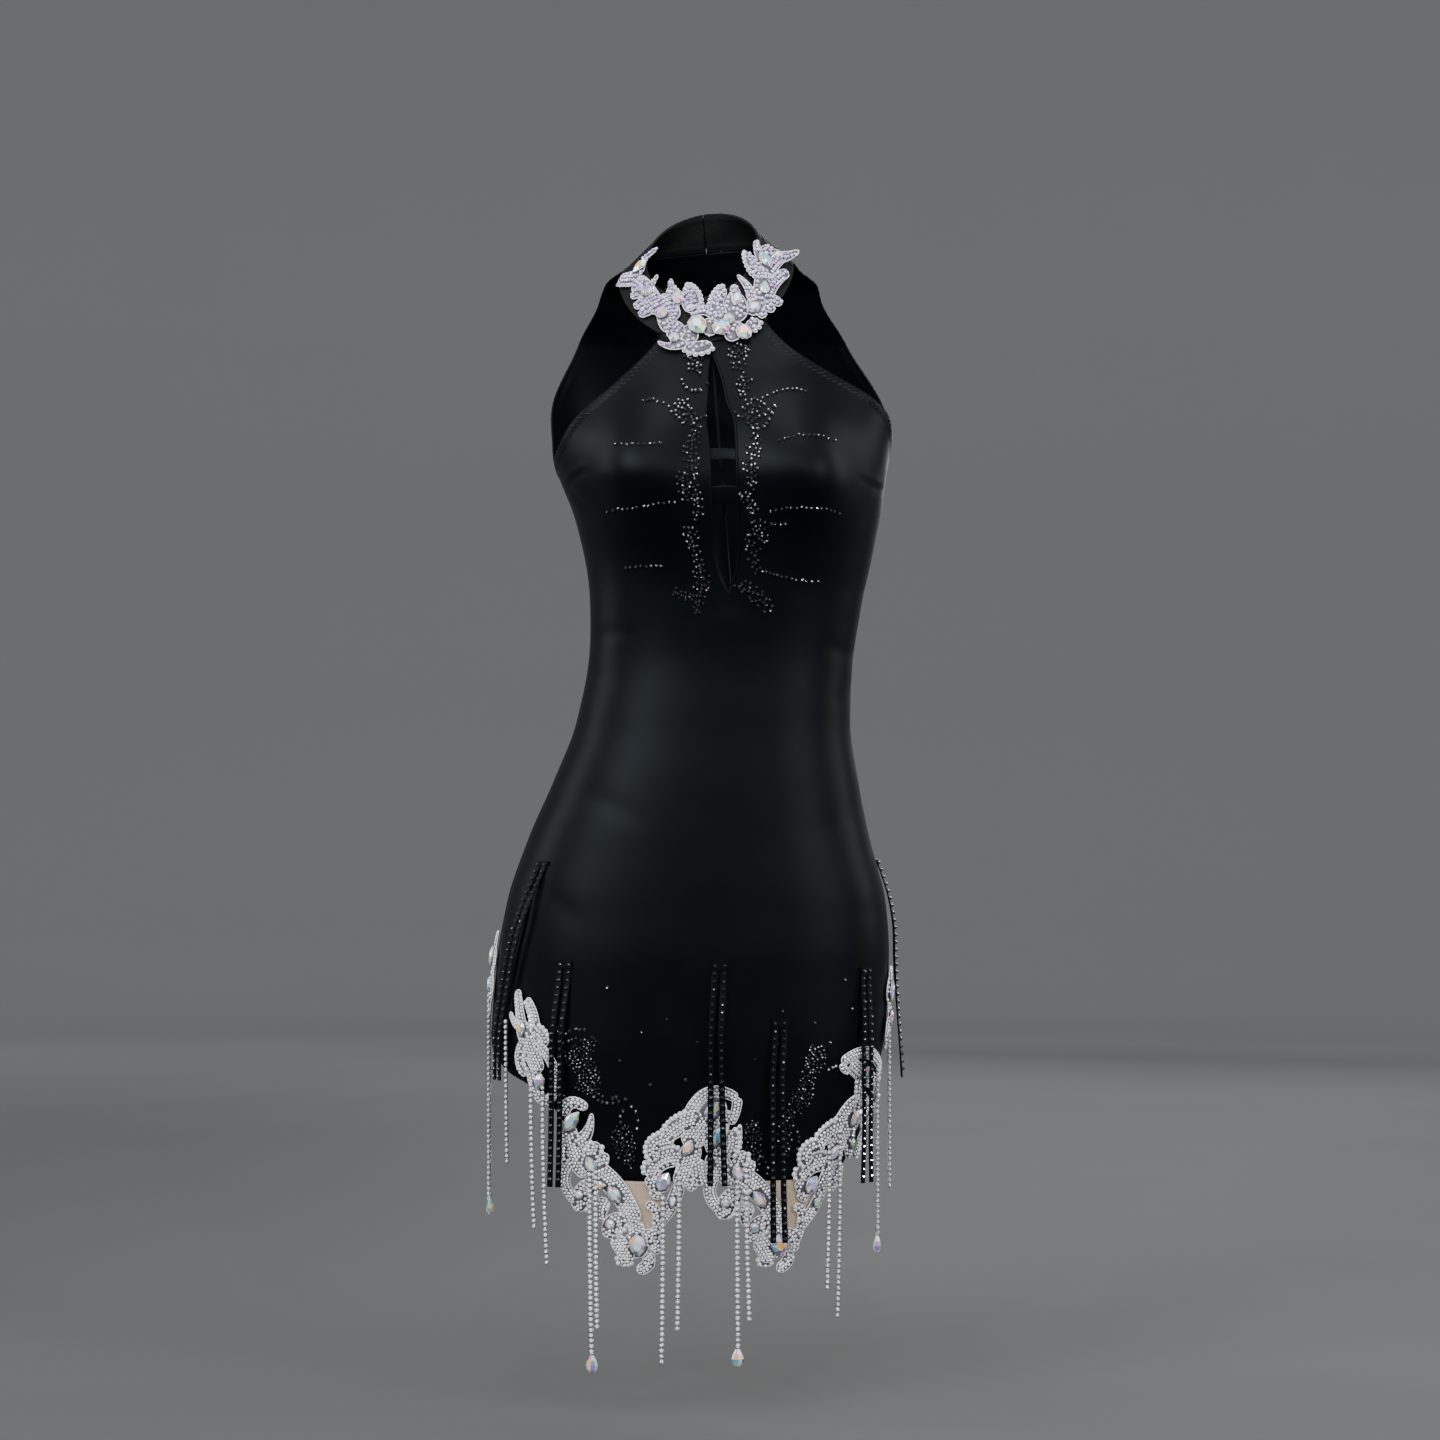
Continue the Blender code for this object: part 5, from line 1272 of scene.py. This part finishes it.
class DRESS_OT_ribbons(bpy.types.Operator):
    """Hanging ribbons set with black beads"""
    bl_idname = "dress.ribbons"
    bl_label = "Ribbons"

    def execute(self, context):
        sizes = context.scene.dress_sizes
        for number, (name, *hang, sway_left, sway_right) in enumerate(RIBBON_PAIRS):
            path, outward, share = plumb_path(*hang)
            sideways = np.stack([-outward[:, 1], outward[:, 0], 0 * outward[:, 2]], axis=-1)
            strip, beads = Bundle(10 + number), Bundle(30 + number)
            for middle, sway in ((-RIBBON_SPACING / 2, sway_left), (RIBBON_SPACING / 2, sway_right)):
                wander = middle + sway * MM * share ** 2
                line = path + sideways * wander[:, None]
                curl = RIBBON_CURL * np.sin(share * 9 + number + sway)
                line = line + outward * curl[:, None]
                self.strip(strip, line, sideways, outward, sizes.ribbon)
                self.beads(beads, line, sideways, outward, sizes.ribbon_step)
            bar = path[0] + sideways[0] * np.linspace(-1, 1, 9)[:, None] * RIBBON_SPACING * 0.86
            rows = np.stack([bar + outward[0] * 0.0012, bar + outward[0] * 0.0014 - [0, 0, RIBBON_BAR]])
            strip.grid(rows)
            tape = strip.piece(name + "_tape", [finishes()["satin"]], "bead_ribbon", replaces=[name])
            solid = tape.modifiers.new("tape", "SOLIDIFY")
            solid.thickness = RIBBON_WALL
            solid.offset = 0.0
            beads.piece(name + "_beads", [finishes()["jet"]], "bead_ribbon")
        return {"FINISHED"}

    def strip(self, bundle, line, sideways, outward, width):
        """Slightly domed band along a line."""
        across = np.linspace(-1, 1, 5)
        crown = 0.00035 * (1 - across ** 2)
        bundle.grid(line[:, None] + sideways[:, None] * (across * width / 2)[None, :, None]
                    + outward[:, None] * (crown + 0.0006)[None, :, None])

    def beads(self, bundle, line, sideways, outward, step):
        """Row of beads down the middle of a ribbon."""
        travel = travel_of(line)
        want = np.arange(step * 0.5, travel[-1] - step * 0.3, step)
        point, side, out = (read_along(part, travel, want) for part in (line, sideways, outward))
        side, out = unit(side), unit(out)
        down = unit(np.cross(side, out))
        bundle.stones(BEAD, point + out * 0.0011, side, down, out, np.full(len(point), RIBBON_BEAD))


def skirt_arc(level):
    """Angles round the skirt at a height and their distances from the front, in metres."""
    angles = np.radians(np.linspace(-130, 130, 521))
    line = on_dress(angles, np.full_like(angles, level))
    run = travel_of(line)
    return angles, run - np.interp(0, angles, run)


# Leaf trim


# How far out the lowest scroll lies; scrolls that follow each other lie at different levels
BASE_OUT = 0.0016
LIFTS = 5
LIFT_STEP = 0.00022
# How far a set stone lies over the lowest scroll, and the radius of the cord round it
STONE_OUT = 0.0022
SETTING_RADIUS = 0.00055
# Half width from which a scroll is padded to its full height
PADDED_HALF = 0.004
# Shares of the crystal step: between rows, along a row, and the least gap
ROW_GAP, ALONG_GAP, LEAST_GAP = 0.88, 0.98, 0.80


def scroll_profile(width_0, width_1, length, t):
    """Half width along a scroll, which is round at both ends."""
    half = (width_0 + (width_1 - width_0) * t) / 2 * (1 + 0.10 * np.sin(t * math.pi))
    from_start, from_end = t * length, (1 - t) * length
    blunt = np.minimum(np.clip(from_start / (width_0 / 2), 0, 1), np.clip(from_end / (width_1 / 2), 0, 1))
    return half * np.sqrt(np.clip(1 - (1 - blunt) ** 2, 0.0, 1.0))


class Trim:
    """Corded scrolls, crystals and set stones laid on one surface.

    Place takes flat points and distances out to the surface, and growth is the size of the
    crystals and of their steps as a share of the usual ones.
    """

    def __init__(self, place, seed, growth=1.0):
        self.place = place
        self.growth = growth
        self.padding, self.cords = Bundle(seed), Bundle(seed + 1)
        self.small, self.large = Bundle(seed + 2), Bundle(seed + 3)
        self.taken = np.zeros((0, 3))
        self.chance = np.random.default_rng(seed)
        self.sizes = bpy.context.scene.dress_sizes
        self.scrolls = []

    def frames(self, flat, way, out):
        """Points on the surface with their ways along, sideways and out."""
        out = np.broadcast_to(np.asarray(out, float), (len(flat),))
        point = self.place(flat, out)
        normal = unit(self.place(flat, out + MM) - point)
        along = unit(self.place(flat + way * MM, out) - point)
        side = unit(np.cross(normal, along))
        return point, np.cross(side, normal), side, normal

    def free(self, flat, gap):
        """Whether each flat point is clear of what is already set."""
        clear = []
        for point in flat:
            if len(self.taken):
                apart = np.linalg.norm(self.taken[:, :2] - point, axis=1)
                clear.append(bool(np.all(apart > gap / 2 + self.taken[:, 2])))
            else:
                clear.append(True)
            if clear[-1]:
                self.taken = np.vstack([self.taken, [*point, gap / 2]])
        return np.array(clear, bool)

    def set_stone(self, flat, way, length, width, cut):
        """Large stone in its setting, at one flat point."""
        point, along, side, normal = self.frames(flat, way, BASE_OUT + STONE_OUT)
        size = np.array([[length, width, 0.5 * width + 0.002]])
        self.large.stones(CUTS[cut], point, along, side, normal, size)
        outline = CUTS[cut][0][:len(CUTS[cut][0]) // 3, :2] * [length + 0.0006, width + 0.0006]
        rim = point + along * outline[:, 0:1] + side * outline[:, 1:2] + normal * 0.0004
        self.cords.tube(rim, SETTING_RADIUS, 5, shade=1, closed=True, up=normal[0])
        reach = np.linspace(-0.5, 0.5, 5)[:, None] * (length - width) * way
        for centre in flat + reach:
            self.taken = np.vstack([self.taken, [*centre, width / 2]])

    def scroll(self, line, half, scallops, rise):
        """One padded scroll with its cord; its stones follow in set_crystals."""
        lift = BASE_OUT + LIFT_STEP * (len(self.scrolls) % LIFTS)
        way = unit(np.gradient(line, axis=0))
        left = np.column_stack([-way[:, 1], way[:, 0]])
        level = lift + rise * MM * np.linspace(0, 1, len(line)) ** 2
        bulge = self.sizes.padding * np.clip(half / PADDED_HALF, 0.3, 1.0)
        across = np.linspace(-1, 1, 7)
        flat = line[:, None] + left[:, None] * (across[None, :] * half[:, None])[..., None]
        dome = level[:, None] + bulge[:, None] * (1 - across[None, :] ** 2)
        grid = self.place(flat.reshape(-1, 2), dome.reshape(-1)).reshape(*dome.shape, 3)
        under = self.place(flat[:, ::6].reshape(-1, 2),
                           np.repeat(level - 0.0007, 2)).reshape(len(line), 2, 3)
        self.padding.grid(np.concatenate([grid, under[:, ::-1]], axis=1), round_it=True)
        self.outline(line, left, half, level)
        self.scrolls.append((line, left, half, level, bulge, scallops))

    def top_at(self, flat):
        """Height of the highest scroll at each flat point."""
        top = np.zeros(len(flat))
        for line, _, half, level, bulge, _ in self.scrolls:
            apart = np.linalg.norm(flat[:, None] - line[None], axis=-1)
            near = np.argmin(apart, axis=1)
            share = apart[np.arange(len(flat)), near] / half[near]
            height = level[near] + bulge[near] * (1 - share ** 2)
            top = np.where(share < 1, np.maximum(top, height), top)
        return top

    def set_crystals(self):
        """Edge bumps and rows of crystals on every scroll, where no other scroll lies over it."""
        for line, left, half, level, _, scallops in self.scrolls:
            if scallops:
                self.bumps(line, left, half, level, scallops)
        for *scroll, _ in self.scrolls:
            self.rows(*scroll)
        self.scrolls = []

    def uncovered(self, flat, out, slack, gap):
        """Points that no other scroll lies over and that are clear of what is already set."""
        seen = self.top_at(flat) < out + slack
        flat, out = flat[seen], out[seen]
        clear = self.free(flat, gap)
        return flat[clear], out[clear]

    def outline(self, line, left, half, out):
        """Cord round a scroll's edge."""
        edge = np.vstack([line + left * half[:, None], (line - left * half[:, None])[::-1]])
        level = np.concatenate([out, out[::-1]]) + 0.0003
        path = self.place(edge, level)
        keep = np.concatenate([[True], np.linalg.norm(np.diff(path, axis=0), axis=1) > 0.0003])
        path = path[keep]
        middle = line[len(line) // 2][None]
        normal = unit(self.place(middle, np.array([NORMAL_STEP])) - self.place(middle, np.array([0.0])))[0]
        self.cords.tube(path, self.sizes.cord, 6, closed=True, up=normal)

    def bumps(self, line, left, half, level, scallops):
        """Row of round bumps along a scroll's edge, each a cord ring round a crystal."""
        width = self.sizes.scallop
        for side in ((1, -1) if scallops == 2 else (scallops,)):
            edge = line + left * (side * (half + 0.28 * width))[:, None]
            travel = travel_of(edge)
            want = np.arange(width * 0.7, travel[-1] - width * 0.5, width * 0.92)
            flat, out = read_along(edge, travel, want), np.interp(want, travel, level)
            flat, out = self.uncovered(flat, out, 0.0002, width * 0.8)
            if not len(flat):
                continue
            way = np.tile([[1.0, 0.0]], (len(flat), 1))
            point, along, sideways, normal = self.frames(flat, way, out)
            turn = np.linspace(0, 2 * math.pi, 10, endpoint=False)[:, None]
            for p, a, s, n in zip(point, along, sideways, normal):
                ring = p + (a * np.cos(turn) + s * np.sin(turn)) * width * 0.44 + n * 0.0002
                self.cords.tube(ring, self.sizes.cord * 0.9, 5, closed=True, up=n)
            size = np.full(len(flat), width * 0.76)
            self.small.stones(CRYSTAL, point + normal * 0.0002, along, sideways, normal, size)

    def rows(self, line, left, half, level, bulge):
        """Rows of crystals over a scroll's padding, then more in what room is left."""
        step, size = self.sizes.crystal_step * self.growth, self.sizes.crystal * self.growth
        travel = travel_of(line)
        count = max(1, int(2 * half.max() / (step * ROW_GAP)))
        at, offset = [], []
        for row in sorted(range(count), key=lambda row: abs(2 * row - count + 1)):
            want = np.arange(step * (0.40 + 0.5 * (row % 2)), travel[-1] - step * 0.2, step * ALONG_GAP)
            at.append(want)
            offset.append(np.full(len(want), (row - (count - 1) / 2) * step * ROW_GAP))
        spare = int(travel[-1] * half.max() / (0.4 * step) ** 2)
        at.append(self.chance.random(spare) * travel[-1])
        offset.append((self.chance.random(spare) * 2 - 1) * half.max())
        at, offset = np.concatenate(at), np.concatenate(offset)
        reach = np.interp(at, travel, half)
        inside = np.abs(offset) <= np.maximum(reach - size * 0.22, 0.0004)
        at, offset, reach = at[inside], offset[inside], reach[inside]
        flat = read_along(line, travel, at) + read_along(left, travel, at) * offset[:, None]
        share = np.abs(offset) / reach
        out = np.interp(at, travel, level) + np.interp(at, travel, bulge) * (1 - share ** 2)
        flat, out = self.uncovered(flat, out, 0.0003, step * LEAST_GAP)
        if not len(flat):
            return
        turn = self.chance.random(len(flat)) * math.pi
        spin = np.column_stack([np.cos(turn), np.sin(turn)])
        grow = size * (0.88 + 0.24 * self.chance.random(len(flat)))
        self.small.stones(CRYSTAL, *self.frames(flat, spin, out - 0.0003), grow)

    def lay(self, scrolls, stones, home):
        """Scrolls and stones of one motif, with home taking its millimetres to the surface."""
        for along, across, length, width, turn, cut in stones:
            angle = math.radians(turn)
            here = home(np.array([[along, across]]))
            way = unit(home(np.array([[along + math.cos(angle), across + math.sin(angle)]])) - here)
            self.set_stone(here, way, length * MM, width * MM, cut)
        for along_0, across_0, along_b, across_b, along_1, across_1, wide_0, wide_1, bumps, rise in scrolls:
            line = bend_line((along_0, across_0), (along_b, across_b), (along_1, across_1), 60)
            travel = travel_of(line)
            length = travel[-1]
            steps = max(10, int(length / 2.0))
            blunt = (1 - np.cos(np.linspace(0, math.pi, steps))) / 2
            even = 0.55 * blunt + 0.45 * np.linspace(0, 1, steps)
            line = read_along(line, travel, even * length)
            half = np.maximum(scroll_profile(wide_0, wide_1, length, even), 0.25) * MM
            self.scroll(home(line), half, bumps, rise)
        self.set_crystals()

    def pieces(self, name, slot, replaces, small, large):
        """Objects of the trim."""
        looks = finishes()
        self.padding.piece(name + "_padding", [looks["padding"]], slot, True, replaces)
        self.cords.piece(name + "_cord", [looks["cord"], looks["metal"]], slot, True)
        self.small.piece(name + "_crystals", [looks[small]], slot)
        self.large.piece(name + "_stones", [looks[large]], slot)


class DRESS_OT_hem_trim(bpy.types.Operator):
    """Scroll trim round the hem"""
    bl_idname = "dress.hem_trim"
    bl_label = "Hem trim"

    def execute(self, context):
        for number, name in enumerate(dict.fromkeys(row[0] for row in HEM_TRIM)):
            rows = [row[1:] for row in HEM_TRIM if row[0] == name]
            level = sum(row[4] + row[6] for row in rows) / (2 * len(rows))
            angles, arc = skirt_arc(level)

            def place(flat, out, angles=angles, arc=arc):
                return on_dress(np.interp(flat[:, 0], arc, angles), flat[:, 1], out)

            trim = Trim(place, 100 + 10 * number)
            for scrolls, stones, length, top_deg, top, bottom_deg, bottom in rows:
                start = np.array([np.interp(math.radians(top_deg), angles, arc), top])
                finish = np.array([np.interp(math.radians(bottom_deg), angles, arc), bottom])
                trim.lay(scrolls, stones, self.home(start, finish, length))
            trim.pieces(f"hem_trim_{name}", "silver_leaf", [f"hem_leaf_trim_{name}"],
                        "crystal", "rainbow")
        return {"FINISHED"}

    def home(self, start, finish, length):
        """Function that takes a motif's millimetres to the unrolled skirt."""
        run = finish - start
        along = run / np.linalg.norm(run)
        across = np.array([along[1], -along[0]])
        size = np.linalg.norm(run) / length

        def to_skirt(flat):
            return start + size * (flat[:, 0:1] * along + flat[:, 1:2] * across)

        return to_skirt


class DRESS_OT_collar_trim(bpy.types.Operator):
    """Scroll trim on the neckband"""
    bl_idname = "dress.collar_trim"
    bl_label = "Collar trim"

    def execute(self, context):
        angles = np.radians(np.linspace(-175, 175, 701))
        run = travel_of(on_band(angles, np.full_like(angles, 0.5)))
        arc = run - np.interp(0, angles, run)
        rise = np.linalg.norm(on_band(angles, 1.0) - on_band(angles, 0.0), axis=1)

        def place(flat, out):
            angle = np.interp(flat[:, 0], arc, angles)
            return on_band(angle, flat[:, 1] / np.interp(angle, angles, rise), out)

        trim = Trim(place, 300, 1.3)
        trim.lay(COLLAR, COLLAR_STONES, lambda flat: flat * MM)
        trim.pieces("collar_trim", "opal_leaf", ["collar_leaf_trim"], "lilac", "rainbow")
        return {"FINISHED"}


class DRESS_OT_chains(bpy.types.Operator):
    """Stone chains and drops that hang from the hem trim"""
    bl_idname = "dress.chains"
    bl_label = "Chains and drops"

    def execute(self, context):
        sizes, looks = context.scene.dress_sizes, finishes()
        for number, trim in enumerate(dict.fromkeys(row[0] for row in CHAINS)):
            stones, cups, drops = Bundle(400 + number), Bundle(420 + number), Bundle(440 + number)
            for _, degrees, top, bottom, dropped, sway in (row for row in CHAINS if row[0] == trim):
                foot = bottom + (DROP_LENGTH if dropped else 0.0)
                line, side, out = self.hang(degrees, top, foot, sway)
                travel = travel_of(line)
                count = max(2, int(travel[-1] / sizes.chain_step))
                point = read_along(line, travel, np.linspace(0, travel[-1], count))
                ways = [np.tile(way, (count, 1)) for way in (side, (0.0, 0.0, 1.0), out)]
                size = np.full(count, sizes.chain_stone)
                stones.stones(CUTS["round"], point, *ways, size)
                cups.stones(CUP, point, *ways, size)
                cups.tube(line - out * 0.0004, 0.00045, 5, up=tuple(out))
                if dropped:
                    self.drop(drops, cups, line[-1], side, out)
            name = f"hem_chains_{trim}"
            stones.piece(name + "_stones", [looks["crystal"]], "silver_leaf")
            cups.piece(name + "_cups", [looks["metal"]], "silver_leaf")
            if drops.count:
                drops.piece(name + "_drops", [looks["rainbow"]], "silver_leaf")
        return {"FINISHED"}

    def hang(self, degrees, top, bottom, sway):
        """Line of a chain, with its sideways and outward ways."""
        angle = math.radians(degrees)
        root = on_dress(angle, top, CHAIN_OUT)
        out = level_normal(angle, top)
        side = np.array([-out[1], out[0], 0.0])
        height = np.linspace(top, bottom, CHAIN_ROWS)
        share = (top - height) / (top - bottom)
        line = np.column_stack([np.tile(root[:2], (CHAIN_ROWS, 1)), height])
        return line + side * (sway * MM * share ** 2)[:, None], side, out

    def drop(self, drops, cups, hook, side, out):
        """Tear-shaped cut stone that hangs point up, with its cap."""
        turn = np.linspace(0, 2 * math.pi, 8, endpoint=False)
        rings = []
        for down, wide in DROP_RINGS:
            centre = hook + np.array([0.0, 0.0, down * DROP_LENGTH])
            rings.append(centre + side * (np.cos(turn) * wide * DROP_HALF_WIDTH)[:, None]
                         + out * (np.sin(turn) * wide * DROP_HALF_DEPTH)[:, None])
        drops.grid(np.array(rings), round_it=True)
        cap = np.array([hook + [0.0, 0.0, 0.0016], hook - [0.0, 0.0, 0.0026]])
        cups.tube(np.linspace(cap[0], cap[1], 5), np.array([0.0006, 0.0011, 0.0014, 0.0017, 0.0013]),
                  8, up=tuple(out))


class DRESS_OT_nets(bpy.types.Operator):
    """Nude net in the V shapes of the front hem"""
    bl_idname = "dress.nets"
    bl_label = "Nets"

    def execute(self, context):
        for name, left, right, foot, foot_height in HEM_NETS:
            share = np.linspace(0, 1, 31)[:, None]
            across = np.linspace(0, 1, 37)[None, :]
            low = np.radians(left + (foot - left) * share * NET_NARROWING)
            high = np.radians(right + (foot - right) * share * NET_NARROWING)
            angle = low + (high - low) * across
            height = HEM_TOP - SEAM + (foot_height - HEM_TOP) * share + 0 * across
            ripple = 0.0003 * np.sin(angle * 60) * share
            grid = on_dress(angle, height, ripple)
            cloth_piece(name + "_cloth", grid, [name], NET_WALL, finish="net")
        return {"FINISHED"}


class DRESS_OT_beads(bpy.types.Operator):
    """Black beads sewn over the front"""
    bl_idname = "dress.beads"
    bl_label = "Beads"

    def execute(self, context):
        front = PIECES["front_cloth"]
        self.tree = BVHTree.FromObject(front, bpy.context.evaluated_depsgraph_get())
        self.chance = np.random.default_rng(77)
        self.taken = np.zeros((0, 3))
        beads = Bundle(78)
        for x_0, z_0, x_b, z_b, x_1, z_1, count, size in BEAD_ROWS:
            self.row(beads, bend_line((x_0, z_0), (x_b, z_b), (x_1, z_1), count), size, 0.35)
        for x_0, z_0, x_b, z_b, x_1, z_1, reach, barbs, size in BEAD_LEAVES:
            self.leaf(beads, bend_line((x_0, z_0), (x_b, z_b), (x_1, z_1), 4 * barbs), reach, size)
        for x, z, size in LONE_BEADS:
            self.row(beads, np.array([[x, z]], float), size, 0.0)
        beads.piece("front_beads", [finishes()["jet"]], "bead_ribbon")
        return {"FINISHED"}

    def leaf(self, beads, spine, reach, size):
        """Spine of beads with slanting barbs on both sides."""
        self.row(beads, spine[::2], size, 0.3)
        way = unit(np.gradient(spine, axis=0))
        count = len(spine)
        for index in range(1, count - 1, 3):
            fullness = math.sin(math.pi * (index + 1) / (count + 1))
            for hand in (-1, 1):
                side = hand * np.array([-way[index, 1], way[index, 0]])
                tip = spine[index] + (side * 0.85 - way[index] * 0.55) * reach * (0.45 + 0.65 * fullness)
                self.row(beads, np.linspace(spine[index], tip, 4)[1:], size * 0.92, 0.45)

    def row(self, beads, line, size, wander):
        """Beads along one line, each set on the cloth and clear of the others."""
        for x, z in line + self.chance.normal(0, 1, line.shape) * wander:
            if len(self.taken):
                apart = np.hypot(self.taken[:, 0] - x, self.taken[:, 1] - z)
                if np.any(apart < (self.taken[:, 2] + size) * 0.43):
                    continue
            hit, normal, _, _ = self.tree.ray_cast(Vector((x * MM, -1.0, z * MM)), Vector((0, 1, 0)))
            if hit is None or hit.y > 0.0:
                continue
            self.taken = np.vstack([self.taken, [x, z, size]])
            out = np.array(normal) if normal.y < 0 else -np.array(normal)
            side = unit(np.cross((0.0, 0.0, 1.0), -out))
            spin = self.chance.random() * math.pi
            up = np.cross(out, side)
            along = side * math.cos(spin) + up * math.sin(spin)
            tilt = unit(out + self.chance.normal(0, 0.10, 3))
            beads.stones(BEAD, np.array([hit]) - out * 0.0002, along[None],
                         np.cross(tilt, along)[None], tilt[None], np.array([size * MM]))


# Stage


# Lamps: name, place, width, height, watts; all face the middle of the dress
LAMPS = [
    ("key_softbox", (-1.9, -2.1, 1.1), 1.5, 1.7, 112.0),
    ("fill_softbox", (2.3, -1.7, 0.5), 1.2, 1.8, 54.0),
    ("left_strip", (-2.0, 0.3, 0.45), 0.5, 1.8, 22.0),
    ("right_strip", (2.0, 0.5, 0.45), 0.5, 1.8, 18.0),
    ("top_softbox", (0.2, -0.6, 2.3), 1.6, 1.6, 48.0),
    ("back_softbox", (0.6, 2.4, 0.6), 1.6, 1.4, 40.0),
    ("spark_one", (-0.7, -2.7, 0.9), 0.12, 0.12, 18.0),
    ("spark_two", (0.9, -2.6, 0.7), 0.12, 0.12, 16.0),
    ("spark_three", (0.1, -2.4, 1.4), 0.12, 0.12, 16.0),
]
LAMP_TARGET = (0.0, 0.0, -0.38)
ROOM_COLOUR = (0.90, 0.92, 0.95, 1.0)
ROOM_LIGHT = 0.42
EYE = (0.0123, -3.0, -0.3526)
LENS_MM, SENSOR_MM = 91.5, 36.0


class DRESS_OT_stage(bpy.types.Operator):
    """Studio floor, lights and camera"""
    bl_idname = "dress.stage"
    bl_label = "Stage"

    def execute(self, context):
        rows = [(r, FLOOR_LEVEL) for r in (0.0, 0.5, 1.2, 2.2, FLOOR_REACH)]
        rows += [(FLOOR_REACH + FLOOR_CURVE * math.sin(a), FLOOR_LEVEL + FLOOR_CURVE * (1 - math.cos(a)))
                 for a in np.linspace(0.1, math.pi / 2, 14)]
        rows += [(FLOOR_REACH + FLOOR_CURVE, z) for z in (1.6, WALL_TOP)]
        turn = np.linspace(0, 2 * math.pi, FLOOR_SIDES, endpoint=False)
        grid = np.array([[(r * math.sin(a), -r * math.cos(a), z) for a in turn] for r, z in rows])
        mesh = bpy.data.meshes.new("studio_floor")
        faces = []
        for row in range(len(rows) - 1):
            low, high = row * FLOOR_SIDES, (row + 1) * FLOOR_SIDES
            for column in range(FLOOR_SIDES):
                beside = (column + 1) % FLOOR_SIDES
                faces.append((low + column, low + beside, high + beside, high + column))
        mesh.from_pydata(grid.reshape(-1, 3).tolist(), [], faces)
        mesh.polygons.foreach_set("use_smooth", [True] * len(mesh.polygons))
        mesh.materials.append(floor_finish("studio_floor_paint", context.scene.dress_colours.floor))
        floor = bpy.data.objects.new("studio_floor", mesh)
        context.scene.collection.objects.link(floor)
        self.lights(context)
        self.camera(context)
        return {"FINISHED"}

    def lights(self, context):
        """Soft lamps all round, three small ones for the glints, and the light of the room."""
        target = Vector(LAMP_TARGET)
        for name, place, wide, tall, power in LAMPS:
            lamp = bpy.data.lights.new(name, "AREA")
            lamp.shape = "RECTANGLE"
            lamp.size = wide
            lamp.size_y = tall
            lamp.energy = power
            thing = bpy.data.objects.new(name, lamp)
            thing.location = place
            thing.rotation_euler = (target - Vector(place)).to_track_quat("-Z", "Y").to_euler()
            context.scene.collection.objects.link(thing)
        world = context.scene.world or bpy.data.worlds.new("studio")
        context.scene.world = world
        world.use_nodes = True
        sky = world.node_tree.nodes["Background"]
        sky.inputs["Color"].default_value = ROOM_COLOUR
        sky.inputs["Strength"].default_value = ROOM_LIGHT

    def camera(self, context):
        """Camera straight in front, three metres away."""
        lens = bpy.data.cameras.new("front_camera")
        lens.lens = LENS_MM
        lens.sensor_width = SENSOR_MM
        eye = bpy.data.objects.new("front_camera", lens)
        eye.location = EYE
        eye.rotation_euler = (math.pi / 2, 0.0, 0.0)
        context.scene.collection.objects.link(eye)
        context.scene.camera = eye


class DRESS_PT_panel(bpy.types.Panel):
    """Sizes, colours and pieces of the dress"""
    bl_idname = "DRESS_PT_panel"
    bl_label = "Latin dance dress"
    bl_space_type = "VIEW_3D"
    bl_region_type = "UI"
    bl_category = "Dress"

    def draw(self, context):
        for group in (context.scene.dress_sizes, context.scene.dress_colours):
            box = self.layout.box()
            for key in group.bl_rna.properties.keys():
                if key not in ("rna_type", "name"):
                    box.prop(group, key)
        for operator in OPERATORS:
            self.layout.operator(operator.bl_idname)


OPERATORS = (DRESS_OT_stage, DRESS_OT_front, DRESS_OT_back, DRESS_OT_neckband, DRESS_OT_ribbons,
             DRESS_OT_nets, DRESS_OT_hem_trim, DRESS_OT_collar_trim, DRESS_OT_chains, DRESS_OT_beads)
CLASSES = (DressSizes, DressColours, *OPERATORS, DRESS_PT_panel)


def register():
    for item in CLASSES:
        bpy.utils.register_class(item)
    bpy.types.Scene.dress_sizes = bpy.props.PointerProperty(type=DressSizes)
    bpy.types.Scene.dress_colours = bpy.props.PointerProperty(type=DressColours)


def unregister():
    del bpy.types.Scene.dress_colours
    del bpy.types.Scene.dress_sizes
    for item in reversed(CLASSES):
        bpy.utils.unregister_class(item)


def main():
    register()
    bpy.ops.dress.stage()
    bpy.ops.dress.front()
    bpy.ops.dress.back()
    bpy.ops.dress.neckband()
    bpy.ops.dress.ribbons()
    bpy.ops.dress.nets()
    bpy.ops.dress.hem_trim()
    bpy.ops.dress.collar_trim()
    bpy.ops.dress.chains()
    bpy.ops.dress.beads()


if __name__ == "__main__":
    main()
